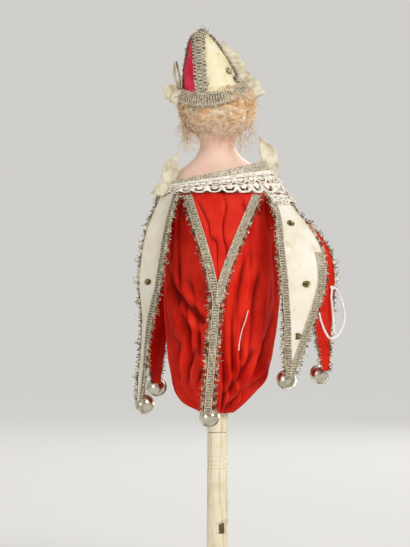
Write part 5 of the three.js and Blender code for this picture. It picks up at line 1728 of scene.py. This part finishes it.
def tuft(name, middle, size_mm, wires, seed, flat=1.0):
    """A tangle of short curled wires round a point."""
    chance = random.Random(seed)
    lines = []
    for _ in range(wires):
        way = Vector((chance.gauss(0, 1), chance.gauss(0, 1), chance.gauss(0, flat))).normalized()
        side = way.orthogonal().normalized()
        curl, turns = chance.uniform(0.12, 0.34) * size_mm, chance.uniform(1, 2.6)
        reach, phase = chance.uniform(0.5, 1) * size_mm, chance.uniform(0, 6)
        line = []
        for i in range(TUFT_STEPS + 1):
            t = i / TUFT_STEPS
            turn = phase + 2 * math.pi * turns * t
            off = side * math.cos(turn) + way.cross(side) * math.sin(turn)
            line.append(middle + (way * reach * t + off * curl * ease(0, 0.3, t)) * MM)
        lines.append(line)
    return threads(name, lines, TUFT_WIRE * MM, sides=4)


tip_tuft = tuft("cap_tip_tuft", cap_at(0.985, 0, -CAP_TIP_RADIUS), 5.2, 90, 5, 0.6)
seam_knots = []
for number, spot in enumerate(KNOT_SPOTS):
    seam_knots.append(tuft(f"cap_seam_knot_{number}", cap_at(*spot, 0.8), 3.2, 44, 8 + number))
dress(join_up([tip_tuft, *seam_knots], "cap_tufts"), tinsel_wire, "doll", "tinsel_braid")
print("tufts", 1 + len(seam_knots))

# %% [markdown]
# ## Ribbons
# Beige silk ribbon ends stand at the shoulders and at both sides of the cap. Each is a strip along a
# line, with its own width and a ruffle that grows towards its free end.

# %% Ribbons
RIBBON_CLOTH, RIBBON_CUP, RIBBON_SLACK = 0.35, 0.5, 1.02


def ribbon(name, points, width, facing, ruffle, waves, seed=0.0):
    """A strip along points in mm, and its cut.

    width(v) is its width in mm, facing the way its flat side looks, and ruffle the height of its waves.
    """
    line = Path([Vector(p) * MM for p in points])

    def place(u, v):
        along = line.tangent(v)
        across = along.cross(Vector(facing)).normalized()
        face = across.cross(along).normalized()
        off = (u - 0.5) * width(v)
        wave = ruffle * ease(0, 0.35, v) * math.sin(2 * math.pi * waves * v + seed + 2.2 * (u - 0.5))
        cup = RIBBON_CUP * (2 * u - 1) ** 2
        return line.at(v) + (across * off + face * (wave + cup)) * MM

    strip = cloth_grid(name, 10, 40, place)
    area = sum(face.area for face in strip.data.polygons)
    widest = max(width(i / 20) for i in range(21)) * MM
    flat = max(widest, area / line.length * RIBBON_SLACK), line.length * RIBBON_SLACK
    smooth(finish_with(strip, "SOLIDIFY", thickness=RIBBON_CLOTH * MM, offset=0))
    return strip, {"flat": flat, "area": area}


def pointed(widest):
    """A leaf's width, which runs out to a point."""
    return lambda v: widest * min(1, 0.55 + 1.6 * v) * (1 - ease(0.45, 1.0, v)) + 0.5


def even(wide):
    return lambda v: wide


def tie(name, strips, node_name, across=None):
    """across names the other body that its end lies on, and two points of that end. When it is given, the bow
    rides on no body and keeps its place in its mesh.
    """
    bow = join_up([strip for strip, _ in strips], name)
    dress(bow, bow_ribbon, None if across else "doll", "ribbon", [node_name])
    if across:
        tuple(across[1])
        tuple(across[2])
        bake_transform(bow)


def from_seat(seat, *steps):
    """Points at steps in mm from the place where a bow is sewn on."""
    return [seat + Vector(step) for step in steps]


# %% Shoulder bows
BACK = (0, 1, 0)
BOW_STAND, RIGHT_BOW_AZIMUTH, LEFT_BOW_AZIMUTH = 2.6, 78, -62
right_seat, left_seat = (
    collar_at(azimuth, COLLAR_HEIGHT, BOW_STAND) / MM for azimuth in (RIGHT_BOW_AZIMUTH, LEFT_BOW_AZIMUTH)
)
up_right = from_seat(right_seat, (0, 0, 0), (3, 1.2, 10), (9, 0.5, 22))
down_right = from_seat(right_seat, (0, 0.6, 1), (1.5, 2, -4), (2.5, 2.4, -8))
tie("shoulder_ribbon_right", [
    ribbon("leaf", up_right, pointed(9), BACK, 0.8, 1.3),
    ribbon("leaf", down_right, pointed(8), BACK, 0.6, 1, 1),
], "shoulder_bow_right")

# The low end of this bow lies on a tab.
up_left = from_seat(left_seat, (0, 0, 0), (-2, 1.2, 9), (-6, 0.8, 19))
down_left = from_seat(left_seat, (0, 0.8, 0), (5, 1.6, -3), (9.5, 1.2, -4.5))
low_end = [tuple(spot * MM) for spot in from_seat(left_seat, (1.5, 0.8, -0.7), (7, 1.5, -3.3))]
tie("shoulder_ribbon_left", [
    ribbon("leaf", up_left, pointed(9), BACK, 0.8, 1.2, 2),
    ribbon("leaf", down_left, pointed(7), BACK, 0.6, 1, 4),
], "shoulder_bow_left", across=("tab_back_left", *low_end))
print("shoulder bows", 2)

# %% Cap ribbons
CAP_TAIL_LOOKS = (-0.35, 1, 0.25)
CAP_LOOP_LOOKS = (1, 0.3, 0.1)
tail_right = [
    (-1.5, 2.4, 312.5), (-6.8, 2.2, 306.5), (-10.6, 2.6, 300), (-14.4, 3, 293.4), (-19.6, 3.5, 288.6),
    (-23.6, 3.5, 281.6),
]
tie("cap_ribbon_right", [
    ribbon("tail", tail_right, lambda v: 5.5 + 3.6 * ease(0, 0.35, v), CAP_TAIL_LOOKS, 1.3, 5.5),
], "cap_bow_right")

cap_seat = cap_at(0.1, -80, 2.1) / MM
side_end = from_seat(cap_seat, (0, 0, 0), (4, 1, -0.5), (9.5, 0.6, -2))
low_loop_end = from_seat(cap_seat, (0, 0.4, 0), (2.5, 1.4, -4), (4.5, 1, -8))
tall_loop = from_seat(
    cap_seat, (0.5, 0.6, 1), (3, 0.8, 9), (3, 0.6, 16.5), (1.4, 0.2, 14), (0.2, 0.4, 6), (0, 0.8, 1)
)
tie("cap_ribbon_left", [
    ribbon("end", side_end, even(7.6), BACK, 0.7, 1.2),
    ribbon("loop", tall_loop, even(4.6), CAP_LOOP_LOOKS, 0.3, 2),
    ribbon("end", low_loop_end, even(5.6), BACK, 0.6, 1, 2),
], "cap_bow_left")
print("cap bows", 2)

# %% [markdown]
# ## The bone handle
# The handle is turned from bone: a whistle with a window cut in its side, four fine grooves, and an
# upper piece that goes up into the bag. A grid is wrapped round the profile as a lathe would turn it,
# closed at both ends, and the window is cut with a wedge.

# %% Handle
HANDLE_LENGTH, MOUTH_RADIUS, HANDLE_TOP_RADIUS = 87.4, 6.4, 5.9
MOUTH_ROUNDING, TOP_ROUNDING, TURNED_EDGE = 0.9, 0.25, 35
BORE_RADIUS, BORE_LENGTH = 3.9, 62
SPINDLE_HOLE, SPINDLE_HOLE_FLOOR = 1.8, 75.7
GROOVES_BELOW_TOP, GROOVE_DEPTH, GROOVE_HALF = (13.7, 16.6, 19, 20.9), 0.4, 0.45
GROOVED_FROM, GROOVED_STEP, GROOVED_STEPS = 62, 0.18, 80
WINDOW_LEDGE, WINDOW_HEIGHT, WINDOW_RAMP, WINDOW_DEEP, WINDOW_AZIMUTH = 29, 5, 4, 3.0, 50


def turned(name, profile, sides=72):
    """A solid turned about Z from (radius, height) points in mm, from axis to axis or back to the first."""
    def place(u, v):
        radius, height = profile[round(v * (len(profile) - 1))]
        turn = 2 * math.pi * u
        return Vector((radius * math.cos(turn), radius * math.sin(turn), height)) * MM
    return close_up(cloth_grid(name, sides, len(profile) - 1, place), 2 * WELD)


def handle_radius(z):
    """The outside of the handle with its slight taper, its grooves and its rounded ends."""
    radius = lerp(MOUTH_RADIUS, HANDLE_TOP_RADIUS, z / HANDLE_LENGTH)
    for below in GROOVES_BELOW_TOP:
        radius -= GROOVE_DEPTH * ease(GROOVE_HALF, 0, abs(z - (HANDLE_LENGTH - below)))
    radius -= MOUTH_ROUNDING * ease(MOUTH_ROUNDING, 0, z) ** 2
    return radius - TOP_ROUNDING * ease(2 * TOP_ROUNDING, 0, HANDLE_LENGTH - z)


heights = [0, 0.15, 0.3, 0.5, 0.9, 2, *range(6, GROOVED_FROM, 4)]
heights += [GROOVED_FROM + GROOVED_STEP * i for i in range(GROOVED_STEPS)]
heights += [78, 82, 86, 86.9, 87.15, HANDLE_LENGTH]
tube_profile = [(0, BORE_LENGTH), (BORE_RADIUS, BORE_LENGTH), (BORE_RADIUS, 0)]
tube_profile += [(handle_radius(z), z) for z in heights]
tube_profile += [(SPINDLE_HOLE, HANDLE_LENGTH), (SPINDLE_HOLE, SPINDLE_HOLE_FLOOR), (0, SPINDLE_HOLE_FLOOR)]
tube = turned("bone_whistle_handle", tube_profile)

# %% Whistle window
past = MOUTH_RADIUS + 1
slope = (MOUTH_RADIUS - WINDOW_DEEP) / WINDOW_RAMP
fresh()
bpy.ops.mesh.primitive_cube_add(size=2)
wedge = bpy.context.object
for corner in wedge.data.vertices:
    x, y, z = corner.co
    top = WINDOW_LEDGE + WINDOW_HEIGHT + ((past - WINDOW_DEEP) / slope if y > 0 else 0)
    corner.co = Vector((x * past, past if y > 0 else WINDOW_DEEP, top if z > 0 else WINDOW_LEDGE)) * MM
wedge.data.transform(Matrix.Rotation(math.radians(WINDOW_AZIMUTH), 4, "Z"))
cut_with(tube, wedge)
dress(smooth(tube, TURNED_EDGE), bone, "handle", "bone", ["handle_tube"])
print("handle faces", len(tube.data.polygons))

# %% Upper piece
UPPER_RADIUS, UPPER_END_RADIUS = 6.1, 5.7
low, high = (Vector(corner).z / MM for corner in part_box("handle_ferrule"))
upper_profile = [(SPINDLE_HOLE, low), (UPPER_END_RADIUS, low), (5.95, low + 0.2), (UPPER_RADIUS, low + 0.6)]
upper_profile += [(UPPER_RADIUS, z) for z in (92, 100, 108, 116, high - 0.4)]
upper_profile += [(UPPER_END_RADIUS, high), (SPINDLE_HOLE, high), (SPINDLE_HOLE, low)]
upper_piece = turned("bone_upper_piece", upper_profile)
dress(smooth(upper_piece, TURNED_EDGE), bone, "handle", "bone", ["handle_ferrule"])
print("upper piece faces", len(upper_piece.data.polygons))

# %% [markdown]
# ## Padding and works
# Under the bag the drum carries a roll of wadding in muslin. The music box and the other hidden
# pieces keep the shapes of the model and only get their finishes.

# %% Padding
padding_low, padding_high = (Vector(corner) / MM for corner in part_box("torso_padding"))
padding_radius = (padding_high.y - padding_low.y) / 2
PADDING_OUTLINE = [(0, 0.86), (0.1, 0.95), (0.4, 0.985), (0.75, 0.93), (0.92, 0.8), (1, 0.68)]
PADDING_WALL, PADDING_FILL, PADDING_INSET, PADDING_END_GAP = 2.5, 0.8, 0.012, 0.2


def padding_place(u, v):
    """The lumpy roll, kept just inside the solid that it stands for."""
    turn = 2 * math.pi * u
    lumps = 0.012 * math.sin(5 * turn + 7 * v) + 0.01 * math.sin(9 * turn - 11 * v)
    radius = padding_radius * (through(PADDING_OUTLINE, v) + lumps - PADDING_INSET)
    height = lerp(padding_low.z + PADDING_END_GAP, padding_high.z - PADDING_END_GAP, v)
    return Vector((radius * math.cos(turn), radius * math.sin(turn), height)) * MM


padding = close_up(cloth_grid("muslin_padding", 72, 40, padding_place))
finish_with(padding, "SOLIDIFY", thickness=PADDING_WALL * MM, offset=-1)
dress(smooth(padding), WORKS["wadding"], "doll", "wadding", ["torso_padding"])
print("padding faces", len(padding.data.polygons))

# %% Works
WORKS_OF = {
    "brass": ["thrust_washer", "spindle_worm", "spindle_bush", "barrel", "barrel_wheel", "barrel_frame"],
    "steel": ["spindle", "barrel_arbor", "comb", "comb_screw", *(f"bell_pellet_{tab.name}" for tab in tabs)],
    "limewood": ["drum_bottom", "drum_top", "comb_rest", "neck_post"],
    "pearwood": ["whistle_plug"],
    "pasteboard": ["drum_wall"],
    "cork": ["pate"],
}
for finish, names in WORKS_OF.items():
    for name in names:
        piece = frame["nodes"][name]
        piece.data.materials.clear()
        piece.data.materials.append(WORKS[finish])
print("finished works", sum(map(len, WORKS_OF.values())))
